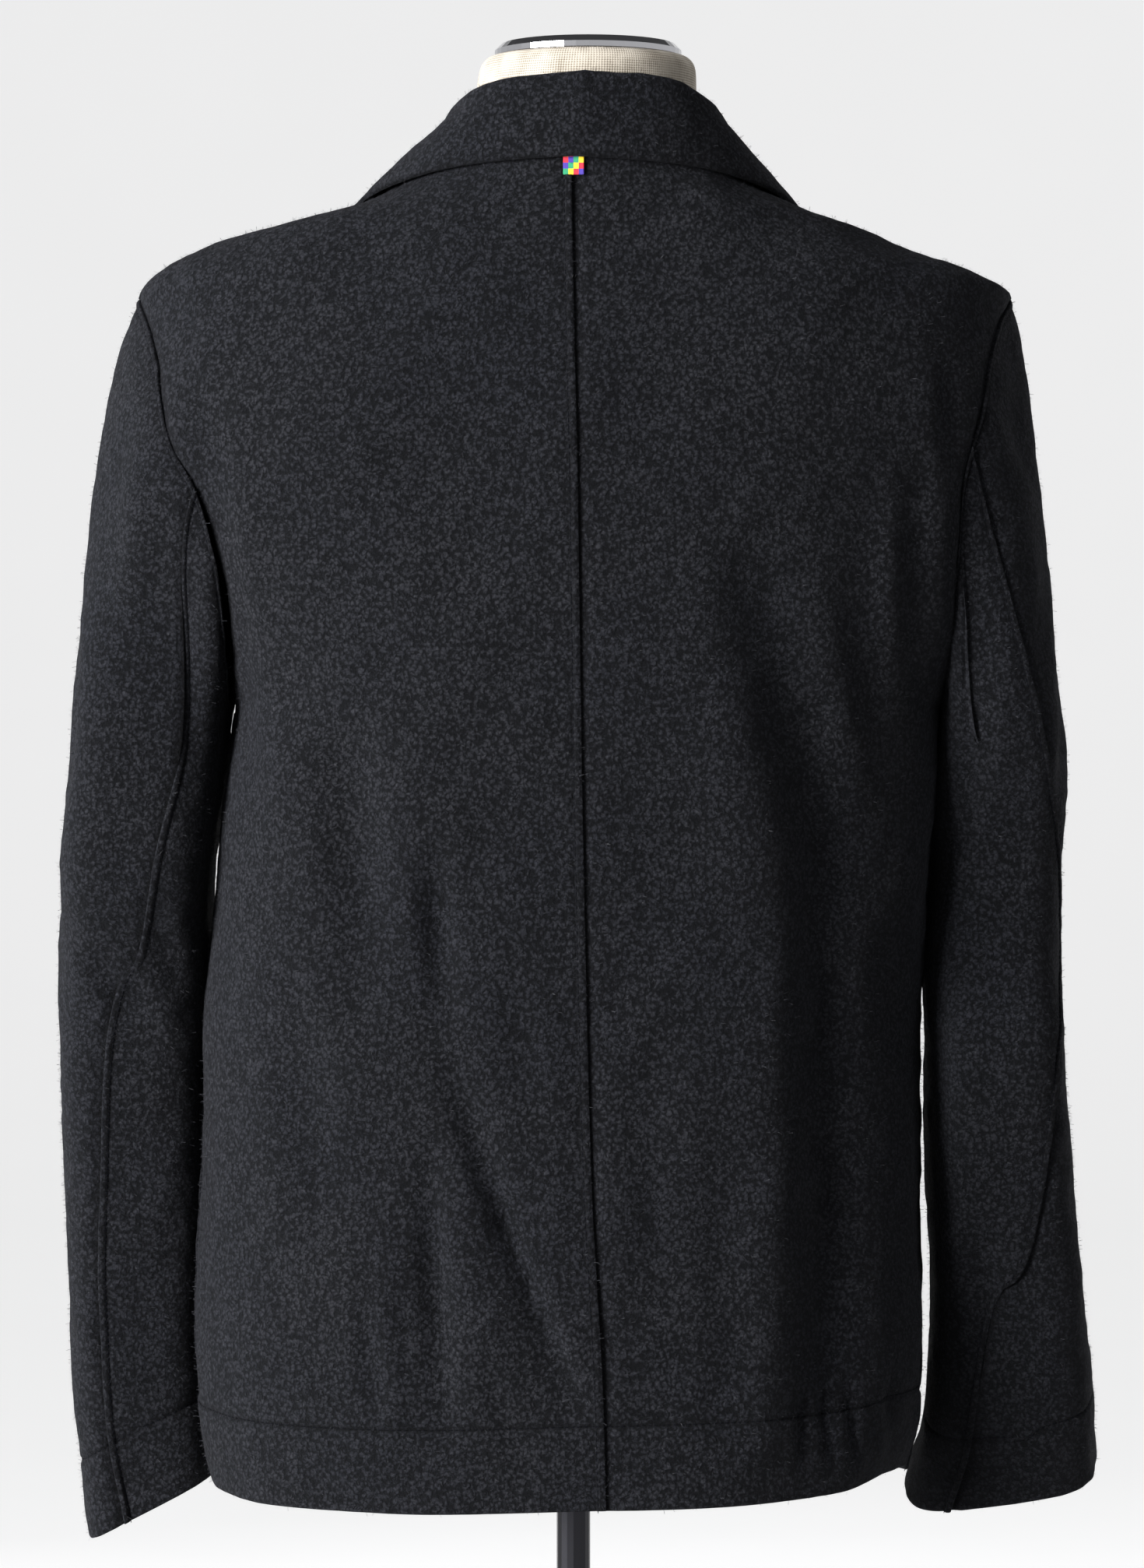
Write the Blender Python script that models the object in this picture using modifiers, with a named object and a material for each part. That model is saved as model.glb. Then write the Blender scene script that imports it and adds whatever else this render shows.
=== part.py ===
"""A short coat of boiled wool, buttoned on a limbless dress form on a pole and a round base.

Metres, +Z up. The coat faces -Y, and the wearer's left is +X. The origin is under the base plate.
Each cloth piece is a wall between an outer and an inner grid of points, worked out from tables of
sections. Neighbouring pieces share the points of their seam and stop short of it by half a gap.
"""
import math
from collections import namedtuple

import bmesh
import bpy
import numpy as np

# Driving sizes
CLOTH = 0.0024
SEAM_GAP = 0.0003
FRONT_LAP = 0.020
FRONT_CLEAR = 0.0014
LAP_EASE_FROM, LAP_EASE_TO = 0.078, 0.042
LAP_DIP = 0.0015
COLLAR_END = 0.004
ROLL_RADIUS = 0.005
CREST_SHIFT = -0.006
FALL_CLEAR = 0.0012
FALL_CLEAR_AT_TAB = 0.0026
BUTTON_HEIGHTS = (1.190, 1.075, 0.960, 0.845)
BUTTON_RADIUS = 0.0115
BUTTON_THICK = 0.0040
TAB_WIDTH, TAB_THICK, TAB_LENGTH = 0.011, 0.0012, 0.013
TAB_HEIGHT = 1.3205
POLE_RADIUS = 0.0091
BASE_RADIUS, BASE_THICK = 0.180, 0.006
HUB_RADIUS, HUB_THICK = 0.032, 0.016
CAP_RADIUS, CAP_THICK = 0.051, 0.010

# Numbers of cells
TRUNK_COLUMNS = 12
HEM_ROWS = 10
ARMHOLE_ROWS = 10
SHOULDER_ROWS = 6
HEAD_ROWS = 6
ARM_ROWS = 8
TORSO_COLUMNS = 32
PLATE_STEPS = 48
SMALL_STEPS = 16

LEFT, RIGHT = 1, -1
BACK, FRONT = 1, -1

# How the sleeves, the folds and the joints of walls are shaped
LEAST_MITRE = 0.6
HEAD_SPACING = 1.25
HEAD_FULLNESS = 0.85
TIP_OUTWARD = {LEFT: 0.51, RIGHT: 0.23}
UNDERARM_OUTWARD = 0.8
TIP_DOWNWARD, UNDERARM_DOWNWARD = 1.0, 0.4
FOLD_FADE_AT_SIDE, FOLD_FADE_ABOVE = 0.2, 0.5
FOLD_BANK, FOLD_BANK_AT, FOLD_BANK_NARROW = 0.4, 1.7, 1.5
PROBE = 0.02

# Sections of the trunk. Level 0 is the hem, 1 the underarm, 2 the shoulder tip and 3 the neckline.
Level = namedtuple("Level", "v z_side x_left x_right z_back y_back z_front y_front roundness")
LEVELS = (
    Level(0.00, 0.6170, 0.1965, 0.1800, 0.612, 0.1340, 0.6120, 0.1360, 2.4),
    Level(0.08, 0.6500, 0.2030, 0.1875, 0.648, 0.1325, 0.6480, 0.1345, 2.4),
    Level(0.20, 0.7000, 0.2055, 0.1890, 0.700, 0.1300, 0.7000, 0.1330, 2.4),
    Level(0.40, 0.7800, 0.2022, 0.1890, 0.780, 0.1260, 0.7800, 0.1300, 2.4),
    Level(0.60, 0.8640, 0.2006, 0.1880, 0.864, 0.1220, 0.8640, 0.1270, 2.4),
    Level(0.78, 0.9350, 0.1942, 0.1925, 0.935, 0.1210, 0.9350, 0.1260, 2.4),
    Level(0.92, 0.9920, 0.1887, 0.1955, 0.992, 0.1230, 0.9920, 0.1270, 2.4),
    Level(1.00, 1.0300, 0.1855, 0.1975, 1.030, 0.1250, 1.0300, 0.1280, 2.4),
    Level(1.10, 1.0370, 0.1857, 0.1985, 1.048, 0.1257, 1.0480, 0.1282, 2.4),
    Level(1.20, 1.0550, 0.1863, 0.2000, 1.068, 0.1265, 1.0660, 0.1280, 2.4),
    Level(1.30, 1.0850, 0.1880, 0.2030, 1.092, 0.1270, 1.0860, 0.1275, 2.4),
    Level(1.40, 1.1200, 0.1930, 0.2055, 1.120, 0.1275, 1.1080, 0.1265, 2.4),
    Level(1.50, 1.1500, 0.2020, 0.2075, 1.147, 0.1270, 1.1300, 0.1245, 2.4),
    Level(1.60, 1.1720, 0.2140, 0.2125, 1.172, 0.1255, 1.1500, 0.1220, 2.35),
    Level(1.70, 1.1950, 0.2205, 0.2200, 1.196, 0.1230, 1.1690, 0.1185, 2.3),
    Level(1.80, 1.2200, 0.2250, 0.2245, 1.220, 0.1190, 1.1880, 0.1145, 2.2),
    Level(1.90, 1.2400, 0.2305, 0.2290, 1.242, 0.1140, 1.2060, 0.1100, 2.15),
    Level(2.00, 1.2560, 0.2355, 0.2370, 1.262, 0.1080, 1.2220, 0.1050, 2.1),
    Level(2.14, 1.2655, 0.2300, 0.2225, 1.272, 0.1055, 1.2300, 0.1020, 2.1),
    Level(2.28, 1.2715, 0.2205, 0.2015, 1.282, 0.1025, 1.2380, 0.0990, 2.05),
    Level(2.43, 1.2795, 0.2014, 0.1823, 1.292, 0.0995, 1.2450, 0.0955, 2.0),
    Level(2.57, 1.2870, 0.1690, 0.1658, 1.302, 0.0965, 1.2520, 0.0920, 2.0),
    Level(2.71, 1.2950, 0.1330, 0.1375, 1.312, 0.0940, 1.2590, 0.0885, 2.0),
    Level(2.86, 1.3050, 0.1080, 0.1080, 1.323, 0.0920, 1.2655, 0.0850, 2.0),
    Level(3.00, 1.3185, 0.0910, 0.0910, 1.334, 0.0900, 1.2720, 0.0810, 2.0),
)

# The armhole's reach behind and before the side, and how far the front is cut in from the back.
Hole = namedtuple("Hole", "v behind before cut_in")
ARMHOLE = (
    Hole(1.0, 0.000, 0.000, 0.0000),
    Hole(1.1, 0.022, 0.022, 0.0000),
    Hole(1.2, 0.043, 0.043, 0.0005),
    Hole(1.3, 0.062, 0.062, 0.0010),
    Hole(1.4, 0.070, 0.072, 0.0030),
    Hole(1.5, 0.070, 0.074, 0.0060),
    Hole(1.6, 0.067, 0.071, 0.0090),
    Hole(1.7, 0.060, 0.063, 0.0080),
    Hole(1.8, 0.048, 0.050, 0.0045),
    Hole(1.9, 0.030, 0.031, 0.0020),
    Hole(2.0, 0.000, 0.000, 0.0000),
)

# The seam down the middle of the back swings a little to the right on its way to the hem.
Seam = namedtuple("Seam", "z x")
BACK_SEAM = (
    Seam(0.612, -0.0170), Seam(0.670, -0.0155), Seam(0.780, -0.0095), Seam(0.992, -0.0045),
    Seam(1.160, -0.0020), Seam(1.250, 0.0000), Seam(1.334, 0.0010),
)

# How the hem dips on the left and rises on the right, between its middle and its sides.
Swing = namedtuple("Swing", "u rise")
HEM_SWING = {
    LEFT: (Swing(0.0, 0.0005), Swing(0.3, -0.0032), Swing(0.6, -0.0038), Swing(0.85, -0.0020),
           Swing(1.0, 0.0)),
    RIGHT: (Swing(0.0, 0.0005), Swing(0.3, 0.0022), Swing(0.55, 0.0045), Swing(0.72, 0.0085),
            Swing(0.88, 0.0080), Swing(1.0, 0.0020)),
}
HEM_SWING_UP_TO = 0.3

# Sections of the sleeves from the biceps to the cuff: the outermost and innermost x, half the
# depth, the middle's y, the angle of the seam behind, and how the section tips outward and back.
Arm = namedtuple("Arm", "z outer inner depth y seam tip_out tip_back")
SLEEVES = {
    LEFT: (
        Arm(1.000, 0.2740, 0.1885, 0.076, -0.024, 102, 0.00, 0.0),
        Arm(0.950, 0.2775, 0.1968, 0.071, -0.016, 96, 0.00, 0.0),
        Arm(0.900, 0.2800, 0.1990, 0.068, -0.030, 91, 0.00, 0.0),
        Arm(0.850, 0.2815, 0.1985, 0.066, -0.038, 84, 0.00, 0.0),
        Arm(0.780, 0.2800, 0.1995, 0.063, -0.048, 79, -0.04, 0.0),
        Arm(0.710, 0.2772, 0.2010, 0.061, -0.056, 75, -0.14, 0.0),
        Arm(0.650, 0.2745, 0.2005, 0.059, -0.062, 76, -0.30, 0.0),
        Arm(0.5950, 0.2665, 0.1960, 0.057, -0.066, 80, -0.52, 0.0),
    ),
    RIGHT: (
        Arm(1.000, 0.2665, 0.1957, 0.078, -0.030, 58, 0.00, 0.0),
        Arm(0.950, 0.2665, 0.1930, 0.076, -0.044, 36, 0.00, 0.0),
        Arm(0.900, 0.2652, 0.1912, 0.072, -0.036, 16, 0.00, 0.0),
        Arm(0.850, 0.2674, 0.1930, 0.068, -0.018, 40, 0.02, 0.0),
        Arm(0.780, 0.2716, 0.1935, 0.062, -0.022, 70, 0.05, 0.0),
        Arm(0.710, 0.2790, 0.1962, 0.055, -0.029, 95, 0.09, -0.12),
        Arm(0.650, 0.2858, 0.1935, 0.048, -0.036, 106, 0.12, -0.26),
        Arm(0.6145, 0.2880, 0.1830, 0.041, -0.040, 110, 0.14, -0.37),
    ),
}
SLEEVE_ROUNDNESS = 2.2
FORE_SEAM = 285
HIND_CELL = {LEFT: 5, RIGHT: 4}
FORE_CELL = 14

# The collar by the angle round the neck, 90 at the middle of the back and -90 at the front: the
# crest of its fold, and where the edge of its fall lies on the trunk.
Crest = namedtuple("Crest", "angle x y z bulge")
CRESTS = (
    Crest(-90, 0.0080, -0.0770, 1.289, 0.006),
    Crest(-60, 0.0390, -0.0675, 1.301, 0.007),
    Crest(-30, 0.0650, -0.0400, 1.321, 0.006),
    Crest(0, 0.0765, 0.0020, 1.342, 0.003),
    Crest(30, 0.0680, 0.0460, 1.356, 0.002),
    Crest(60, 0.0430, 0.0780, 1.367, 0.001),
    Crest(90, 0.0000, 0.0900, 1.371, 0.001),
)
Edge = namedtuple("Edge", "angle u v")
FALL_EDGE = (
    Edge(-90, 0.27, 2.03), Edge(-60, 0.44, 2.30), Edge(-30, 0.70, 2.60), Edge(0, 1.00, 2.77),
    Edge(30, 0.67, 2.80), Edge(60, 0.33, 2.84), Edge(90, 0.00, 2.86),
)

# Soft folds of the trunk: a trough from one point to another across the panel.
Fold = namedtuple("Fold", "side face x_top z_top x_low z_low width depth")
FOLDS = (
    Fold(LEFT, BACK, 0.071, 0.960, 0.070, 0.850, 0.018, 0.0045),
    Fold(LEFT, BACK, 0.060, 0.850, 0.006, 0.660, 0.015, 0.0040),
    Fold(LEFT, BACK, 0.077, 0.810, 0.070, 0.640, 0.012, 0.0045),
    Fold(LEFT, BACK, 0.118, 1.030, 0.108, 0.850, 0.024, 0.0045),
    Fold(RIGHT, BACK, -0.095, 1.130, -0.135, 0.900, 0.026, 0.0045),
    Fold(RIGHT, BACK, -0.125, 0.900, -0.135, 0.630, 0.024, 0.0045),
    Fold(LEFT, FRONT, 0.100, 1.000, 0.120, 0.700, 0.025, 0.0050),
    Fold(LEFT, FRONT, 0.062, 0.860, 0.050, 0.630, 0.018, 0.0040),
    Fold(RIGHT, FRONT, -0.105, 1.040, -0.122, 0.760, 0.026, 0.0050),
    Fold(RIGHT, FRONT, -0.070, 0.840, -0.060, 0.640, 0.018, 0.0040),
)

# Sections of the form from its flat underside to the top of its neck.
Body = namedtuple("Body", "z_side x z_back y_back z_front y_front")
FORM = (
    Body(0.6600, 0.1450, 0.660, 0.1020, 0.660, 0.106),
    Body(0.6660, 0.1510, 0.666, 0.1065, 0.666, 0.110),
    Body(0.7000, 0.1570, 0.700, 0.1110, 0.700, 0.114),
    Body(0.8000, 0.1610, 0.800, 0.1100, 0.800, 0.113),
    Body(0.9000, 0.1530, 0.900, 0.1020, 0.900, 0.107),
    Body(0.9800, 0.1570, 0.980, 0.1050, 0.980, 0.113),
    Body(1.0600, 0.1660, 1.060, 0.1110, 1.055, 0.117),
    Body(1.1300, 0.1730, 1.130, 0.1130, 1.110, 0.115),
    Body(1.1900, 0.1800, 1.182, 0.1100, 1.160, 0.109),
    Body(1.2350, 0.1860, 1.225, 0.1030, 1.195, 0.100),
    Body(1.2620, 0.1865, 1.252, 0.0950, 1.213, 0.090),
    Body(1.2760, 0.1790, 1.268, 0.0890, 1.228, 0.081),
    Body(1.2828, 0.1650, 1.280, 0.0840, 1.240, 0.074),
    Body(1.2900, 0.1350, 1.293, 0.0790, 1.250, 0.068),
    Body(1.2990, 0.1090, 1.306, 0.0730, 1.258, 0.064),
    Body(1.3110, 0.0830, 1.319, 0.0680, 1.268, 0.060),
    Body(1.3310, 0.0665, 1.336, 0.0630, 1.288, 0.057),
    Body(1.3500, 0.0615, 1.353, 0.0600, 1.325, 0.056),
    Body(1.3740, 0.0600, 1.374, 0.0580, 1.370, 0.056),
    Body(1.3820, 0.0570, 1.382, 0.0550, 1.381, 0.053),
    Body(1.3840, 0.0520, 1.384, 0.0500, 1.384, 0.048),
)
FORM_ROUNDNESS = 2.15
NECK_SHIFT = -0.008
NECK_FROM = 1.26

Finish = namedtuple("Finish", "colour roughness metallic")
FINISHES = {
    "boiled_wool": Finish((0.014, 0.016, 0.022), 0.95, 0.0),
    "linen": Finish((0.62, 0.55, 0.44), 0.90, 0.0),
    "chrome": Finish((0.80, 0.80, 0.82), 0.12, 1.0),
    "dark_steel": Finish((0.10, 0.10, 0.11), 0.35, 1.0),
    "horn": Finish((0.030, 0.024, 0.022), 0.45, 0.0),
    "ribbon": Finish((0.20, 0.13, 0.36), 0.80, 0.0),
}


def clear_scene():
    for thing in list(bpy.data.objects):
        bpy.data.objects.remove(thing)


def new_collection(name):
    made = bpy.data.collections.new(name)
    bpy.context.scene.collection.children.link(made)
    return made


def new_material(name):
    finish = FINISHES[name]
    material = bpy.data.materials.new(name)
    material.use_nodes = True
    shader = material.node_tree.nodes["Principled BSDF"]
    shader.inputs["Base Color"].default_value = (*finish.colour, 1.0)
    shader.inputs["Roughness"].default_value = finish.roughness
    shader.inputs["Metallic"].default_value = finish.metallic
    return material


def smooth_between(table, key, name, where):
    """A column of a table read at any place, with no overshoot between its rows."""
    xs = np.array([getattr(row, key) for row in table], float)
    ys = np.array([getattr(row, name) for row in table], float)
    if xs[0] > xs[-1]:
        xs, ys = xs[::-1], ys[::-1]
    steps = np.diff(xs)
    rises = np.diff(ys) / steps
    slopes = np.zeros(len(xs))
    slopes[0], slopes[-1] = rises[0], rises[-1]
    before, after = rises[:-1], rises[1:]
    same = before * after > 0
    total = np.where(same, before + after, 1.0)
    slopes[1:-1] = np.where(same, 2 * before * after / total, 0.0)
    where = np.clip(np.asarray(where, float), xs[0], xs[-1])
    cell = np.clip(np.searchsorted(xs, where) - 1, 0, len(steps) - 1)
    width = steps[cell]
    t = (where - xs[cell]) / width
    start, end = ys[cell], ys[cell + 1]
    pull_start, pull_end = slopes[cell] * width, slopes[cell + 1] * width
    bend = (2 * t ** 3 - 3 * t ** 2 + 1) * start + (t ** 3 - 2 * t ** 2 + t) * pull_start
    return bend + (3 * t ** 2 - 2 * t ** 3) * end + (t ** 3 - t ** 2) * pull_end


def unit(vectors):
    return vectors / np.maximum(np.linalg.norm(vectors, axis=-1, keepdims=True), 1e-12)


def arc(u, reach, depth, y_edge, roundness):
    """A quarter of a rounded oval from the middle (u 0) to the edge (u 1), as shares across and y."""
    share = np.clip(y_edge / depth, 0, 0.98)
    across_at_edge = (1 - share ** roundness) ** (1 / roundness)
    angle_at_edge = np.arctan2(share ** (roundness / 2), across_at_edge ** (roundness / 2))
    angle = math.pi / 2 - u * (math.pi / 2 - angle_at_edge)
    across = np.abs(np.cos(angle)) ** (2 / roundness) / across_at_edge
    return across * reach, depth * np.sin(angle) ** (2 / roundness)


def trunk_grid(side, face, us, vs):
    """Outer points of a trunk panel: rows go up from the hem, columns from the middle to the side."""
    v = np.asarray(vs, float)[:, None]
    u = np.asarray(us, float)[None, :]
    ends = ("z_back", "y_back") if face == BACK else ("z_front", "y_front")
    z_middle = smooth_between(LEVELS, "v", ends[0], v)
    depth = smooth_between(LEVELS, "v", ends[1], v)
    reach = smooth_between(LEVELS, "v", "x_left" if side == LEFT else "x_right", v)
    hole = "behind" if face == BACK else "before"
    y_edge = smooth_between(ARMHOLE, "v", hole, v)
    if face == FRONT:
        reach = reach - smooth_between(ARMHOLE, "v", "cut_in", v)
        x_middle = np.full_like(v, side * COLLAR_END)
    else:
        x_middle = smooth_between(BACK_SEAM, "z", "x", z_middle)
    roundness = smooth_between(LEVELS, "v", "roundness", v)
    across, y = arc(u, 1.0, depth, y_edge, roundness)
    x = x_middle + (side * reach - x_middle) * across
    z_side = smooth_between(LEVELS, "v", "z_side", v)
    z = z_middle + (z_side - z_middle) * (1 - np.cos(u * math.pi / 2))
    low = np.clip(1 - v / HEM_SWING_UP_TO, 0, 1) ** 2
    z = z + low * smooth_between(HEM_SWING[side], "u", "rise", u)
    grid = np.stack(np.broadcast_arrays(x, face * y, z), axis=-1)
    return folded(grid, side, face, u, v)


def folded(grid, side, face, u, v):
    """The grid with its soft folds pressed in, which fade out at the side and the seams above."""
    calm = np.clip((1.0 - u) / FOLD_FADE_AT_SIDE, 0, 1)
    calm = calm * np.clip((2.0 - v) / FOLD_FADE_ABOVE, 0, 1)
    if face == FRONT:
        calm = calm * np.clip((np.abs(grid[..., 0]) - LAP_EASE_TO) / FRONT_LAP, 0, 1)
    press = np.zeros(grid.shape[:2])
    for fold in FOLDS:
        if (fold.side, fold.face) != (side, face):
            continue
        along = (fold.z_top - grid[..., 2]) / (fold.z_top - fold.z_low)
        line = fold.x_top + (fold.x_low - fold.x_top) * along
        off = (grid[..., 0] - line) / fold.width
        shown = np.sin(np.clip(along, 0, 1) * math.pi) ** 0.7
        banks = np.exp(-(np.abs(off) - FOLD_BANK_AT) ** 2 * FOLD_BANK_NARROW)
        press += fold.depth * shown * (np.exp(-off ** 2) - FOLD_BANK * banks)
    grid = grid.copy()
    grid[..., 1] -= face * press * calm
    return grid


def normals_of(grid, inside):
    """Unit normals of a grid, turned away from the points inside."""
    down = np.gradient(grid, axis=0)
    across = np.gradient(grid, axis=1)
    normals = unit(np.cross(down, across))
    flipped = np.sum(normals * (grid - inside), axis=-1).sum() < 0
    return -normals if flipped else normals


def mitred(first, second):
    """The offset that keeps one thickness on both faces of a seam."""
    together = first + second
    share = 1 + np.sum(first * second, axis=-1, keepdims=True)
    return together / np.maximum(share, LEAST_MITRE)


def trunk_levels():
    below = np.linspace(0.0, 1.0, HEM_ROWS + 1)
    beside = np.linspace(1.0, 2.0, ARMHOLE_ROWS + 1)[1:]
    above = np.linspace(2.0, 3.0, SHOULDER_ROWS + 1)[1:]
    return np.concatenate([below, beside, above])


def trunk_panels():
    """Outer grid and offsets of each panel, with the offsets shared along the seams."""
    us = np.linspace(0.0, 1.0, TRUNK_COLUMNS + 1)
    vs = trunk_levels()
    grids, offsets = {}, {}
    for side in (LEFT, RIGHT):
        for face in (BACK, FRONT):
            grid = trunk_grid(side, face, us, vs)
            inside = np.zeros_like(grid)
            inside[..., 2] = grid[..., 2] - PROBE
            grids[side, face] = grid
            offsets[side, face] = normals_of(grid, inside)
    for side in (LEFT, RIGHT):
        shared = unit(offsets[side, BACK][:, -1] + offsets[side, FRONT][:, -1])
        joined = (vs <= 1.0) | (vs >= 2.0)
        for face in (BACK, FRONT):
            offsets[side, face][joined, -1] = shared[joined]
    shared = unit(offsets[LEFT, BACK][:, 0] + offsets[RIGHT, BACK][:, 0])
    for side in (LEFT, RIGHT):
        offsets[side, BACK][:, 0] = shared
    return grids, offsets


def loop_rows():
    """Grid rows of the armhole from the tip down to the underarm."""
    return np.arange(HEM_ROWS + ARMHOLE_ROWS, HEM_ROWS - 1, -1)


def armhole_loop(panels, side):
    """The armhole as a ring: the tip, down the back, the underarm, and up the front."""
    rows = loop_rows()
    behind = panels[side, BACK][rows, -1]
    before = panels[side, FRONT][rows, -1]
    return np.concatenate([behind, before[-2:0:-1]])


def section_angles(side, seam, cells):
    """The angle of each cell's edge round a sleeve: 0 outside, 90 behind, 180 next to the body."""
    hind, fore = HIND_CELL[side], FORE_CELL
    full = len(cells)
    angles = np.empty(full)
    for place, cell in enumerate(cells):
        if hind <= cell <= fore:
            angles[place] = seam + (FORE_SEAM - seam) * (cell - hind) / (fore - hind)
        else:
            steps = hind - (cell if cell < hind else cell - full)
            span = hind - (fore - full)
            angles[place] = seam + (FORE_SEAM - 360 - seam) * steps / span
    return np.radians(angles)


def sleeve_section(side, z):
    table = SLEEVES[side]
    outer, inner, depth, y, seam, tip_out, tip_back = (
        float(smooth_between(table, "z", name, z)) for name in Arm._fields[1:]
    )
    angle = section_angles(side, seam, np.arange(2 * ARMHOLE_ROWS))
    cos, sin = np.cos(angle), np.sin(angle)
    out = (outer - inner) / 2 * np.sign(cos) * np.abs(cos) ** (2 / SLEEVE_ROUNDNESS)
    back = depth * np.sign(sin) * np.abs(sin) ** (2 / SLEEVE_ROUNDNESS)
    x = side * ((outer + inner) / 2 + out)
    return np.stack([x, y + back, z + tip_out * out + tip_back * back], axis=-1)


def sleeve_grid(side, loop):
    """Outer points of a whole sleeve, from its armhole ring down to the cuff."""
    table = SLEEVES[side]
    biceps, cuff = table[0].z, table[-1].z
    start = sleeve_section(side, biceps)
    drop = 0.01
    end_pull = unit(sleeve_section(side, biceps - drop) - start)
    turn = np.arange(2 * ARMHOLE_ROWS) / (2 * ARMHOLE_ROWS) * 2 * math.pi
    low = ((1 - np.cos(turn)) / 2)[:, None]
    outward = np.array([side, 0.0, 0.0])
    downward = np.array([0.0, 0.0, -1.0])
    low = low ** 1.5
    tip = TIP_OUTWARD[side]
    start_pull = unit(outward * (tip + (UNDERARM_OUTWARD - tip) * low)
                      + downward * (TIP_DOWNWARD + (UNDERARM_DOWNWARD - TIP_DOWNWARD) * low))
    reach = np.linalg.norm(start - loop, axis=-1, keepdims=True)
    rows = []
    for t in np.linspace(0.0, 1.0, HEAD_ROWS + 1) ** HEAD_SPACING:
        bend = (2 * t ** 3 - 3 * t ** 2 + 1) * loop + (3 * t ** 2 - 2 * t ** 3) * start
        pull = (t ** 3 - 2 * t ** 2 + t) * start_pull + (t ** 3 - t ** 2) * end_pull
        rows.append(bend + HEAD_FULLNESS * reach * pull)
    for z in np.linspace(biceps, cuff, ARM_ROWS + 1)[1:]:
        rows.append(sleeve_section(side, z))
    return np.array(rows)


def ring_normals(grid):
    """Normals of a grid that closes on itself across its columns."""
    wide = np.concatenate([grid[:, -1:], grid, grid[:, :1]], axis=1)
    inside = np.broadcast_to(grid.mean(axis=1, keepdims=True), grid.shape)
    down = np.gradient(wide, axis=0)
    across = np.gradient(wide, axis=1)
    normals = unit(np.cross(down, across))[:, 1:-1]
    flipped = np.sum(normals * (grid - inside), axis=-1).sum() < 0
    return -normals if flipped else normals


def pulled_back(grid, edges):
    """The grid with the named edges drawn in by half a seam gap."""
    grid = grid.copy()
    ends = {
        "first_row": (np.s_[0], np.s_[1]),
        "last_row": (np.s_[-1], np.s_[-2]),
        "first_column": (np.s_[:, 0], np.s_[:, 1]),
        "last_column": (np.s_[:, -1], np.s_[:, -2]),
    }
    for edge in edges:
        here, next_in = ends[edge]
        grid[here] = grid[here] + SEAM_GAP / 2 * unit(grid[next_in] - grid[here])
    return grid


def link_mesh(name, bm, material, collection):
    bmesh.ops.triangulate(bm, faces=bm.faces, quad_method="SHORT_EDGE")
    bmesh.ops.recalc_face_normals(bm, faces=bm.faces)
    mesh = bpy.data.meshes.new(name)
    bm.to_mesh(mesh)
    bm.free()
    mesh.shade_smooth()
    mesh.set_sharp_from_angle(angle=math.radians(50))
    mesh.materials.append(material)
    made = bpy.data.objects.new(name, mesh)
    collection.objects.link(made)
    return made


def cloth_wall(name, outer, inner, material, collection):
    """A closed wall lofted between an outer and an inner grid of the same size."""
    rows, columns = outer.shape[:2]
    bm = bmesh.new()
    faces = []
    for grid in (outer, inner):
        faces.append([[bm.verts.new(point) for point in row] for row in grid])
    front, behind = faces
    for r in range(rows - 1):
        for c in range(columns - 1):
            cell = ((r, c), (r, c + 1), (r + 1, c + 1), (r + 1, c))
            bm.faces.new([front[i][j] for i, j in cell])
            bm.faces.new([behind[i][j] for i, j in reversed(cell)])
    rim = [(0, c) for c in range(columns)]
    rim += [(r, columns - 1) for r in range(1, rows)]
    rim += [(rows - 1, c) for c in range(columns - 2, -1, -1)]
    rim += [(r, 0) for r in range(rows - 2, 0, -1)]
    for (a, b), (c, d) in zip(rim, rim[1:] + rim[:1]):
        bm.faces.new([front[c][d], front[a][b], behind[a][b], behind[c][d]])
    return link_mesh(name, bm, material, collection)


def lofted(name, rings, material, collection):
    """A closed form through rings of points, with a flat face at each end."""
    bm = bmesh.new()
    loops = [[bm.verts.new(point) for point in ring] for ring in rings]
    count = len(rings[0])
    for low, high in zip(loops, loops[1:]):
        for c in range(count):
            d = (c + 1) % count
            bm.faces.new([low[c], low[d], high[d], high[c]])
    bm.faces.new(loops[0][::-1])
    bm.faces.new(loops[-1])
    return link_mesh(name, bm, material, collection)


def turned(name, profile, place, material, collection, steps=PLATE_STEPS, rotation=(0.0, 0.0, 0.0)):
    """A solid of revolution: the profile's (radius, height) pairs run from top to bottom."""
    mesh = bpy.data.meshes.new(name)
    bm = bmesh.new()
    points = [bm.verts.new((radius, 0.0, height)) for radius, height in profile]
    for above, below in zip(points, points[1:]):
        bm.edges.new((above, below))
    bm.to_mesh(mesh)
    bm.free()
    mesh.materials.append(material)
    made = bpy.data.objects.new(name, mesh)
    collection.objects.link(made)
    screw = made.modifiers.new("turn", "SCREW")
    screw.steps = steps
    screw.render_steps = steps
    screw.use_merge_vertices = True
    screw.merge_threshold = 0.00001
    made.location = place
    made.rotation_euler = rotation
    return made


def make_trunk(grids, offsets, wool, collection):
    """Two back panels and two fronts, the left front lapped over the right."""
    words = {LEFT: "left", RIGHT: "right"}
    for side in (LEFT, RIGHT):
        outer = grids[side, BACK]
        inner = outer - CLOTH * offsets[side, BACK]
        edges = ("last_row", "first_column", "last_column")
        cloth_wall(f"back_{words[side]}", pulled_back(outer, edges=edges),
                   pulled_back(inner, edges=edges), wool, collection)
    for side in (LEFT, RIGHT):
        outer, shift = lapped_front(grids[side, FRONT], offsets[side, FRONT], side)
        inner = outer - CLOTH * shift
        edges = ("last_row", "last_column")
        cloth_wall(f"front_{words[side]}", pulled_back(outer, edges=edges),
                   pulled_back(inner, edges=edges), wool, collection)


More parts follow.
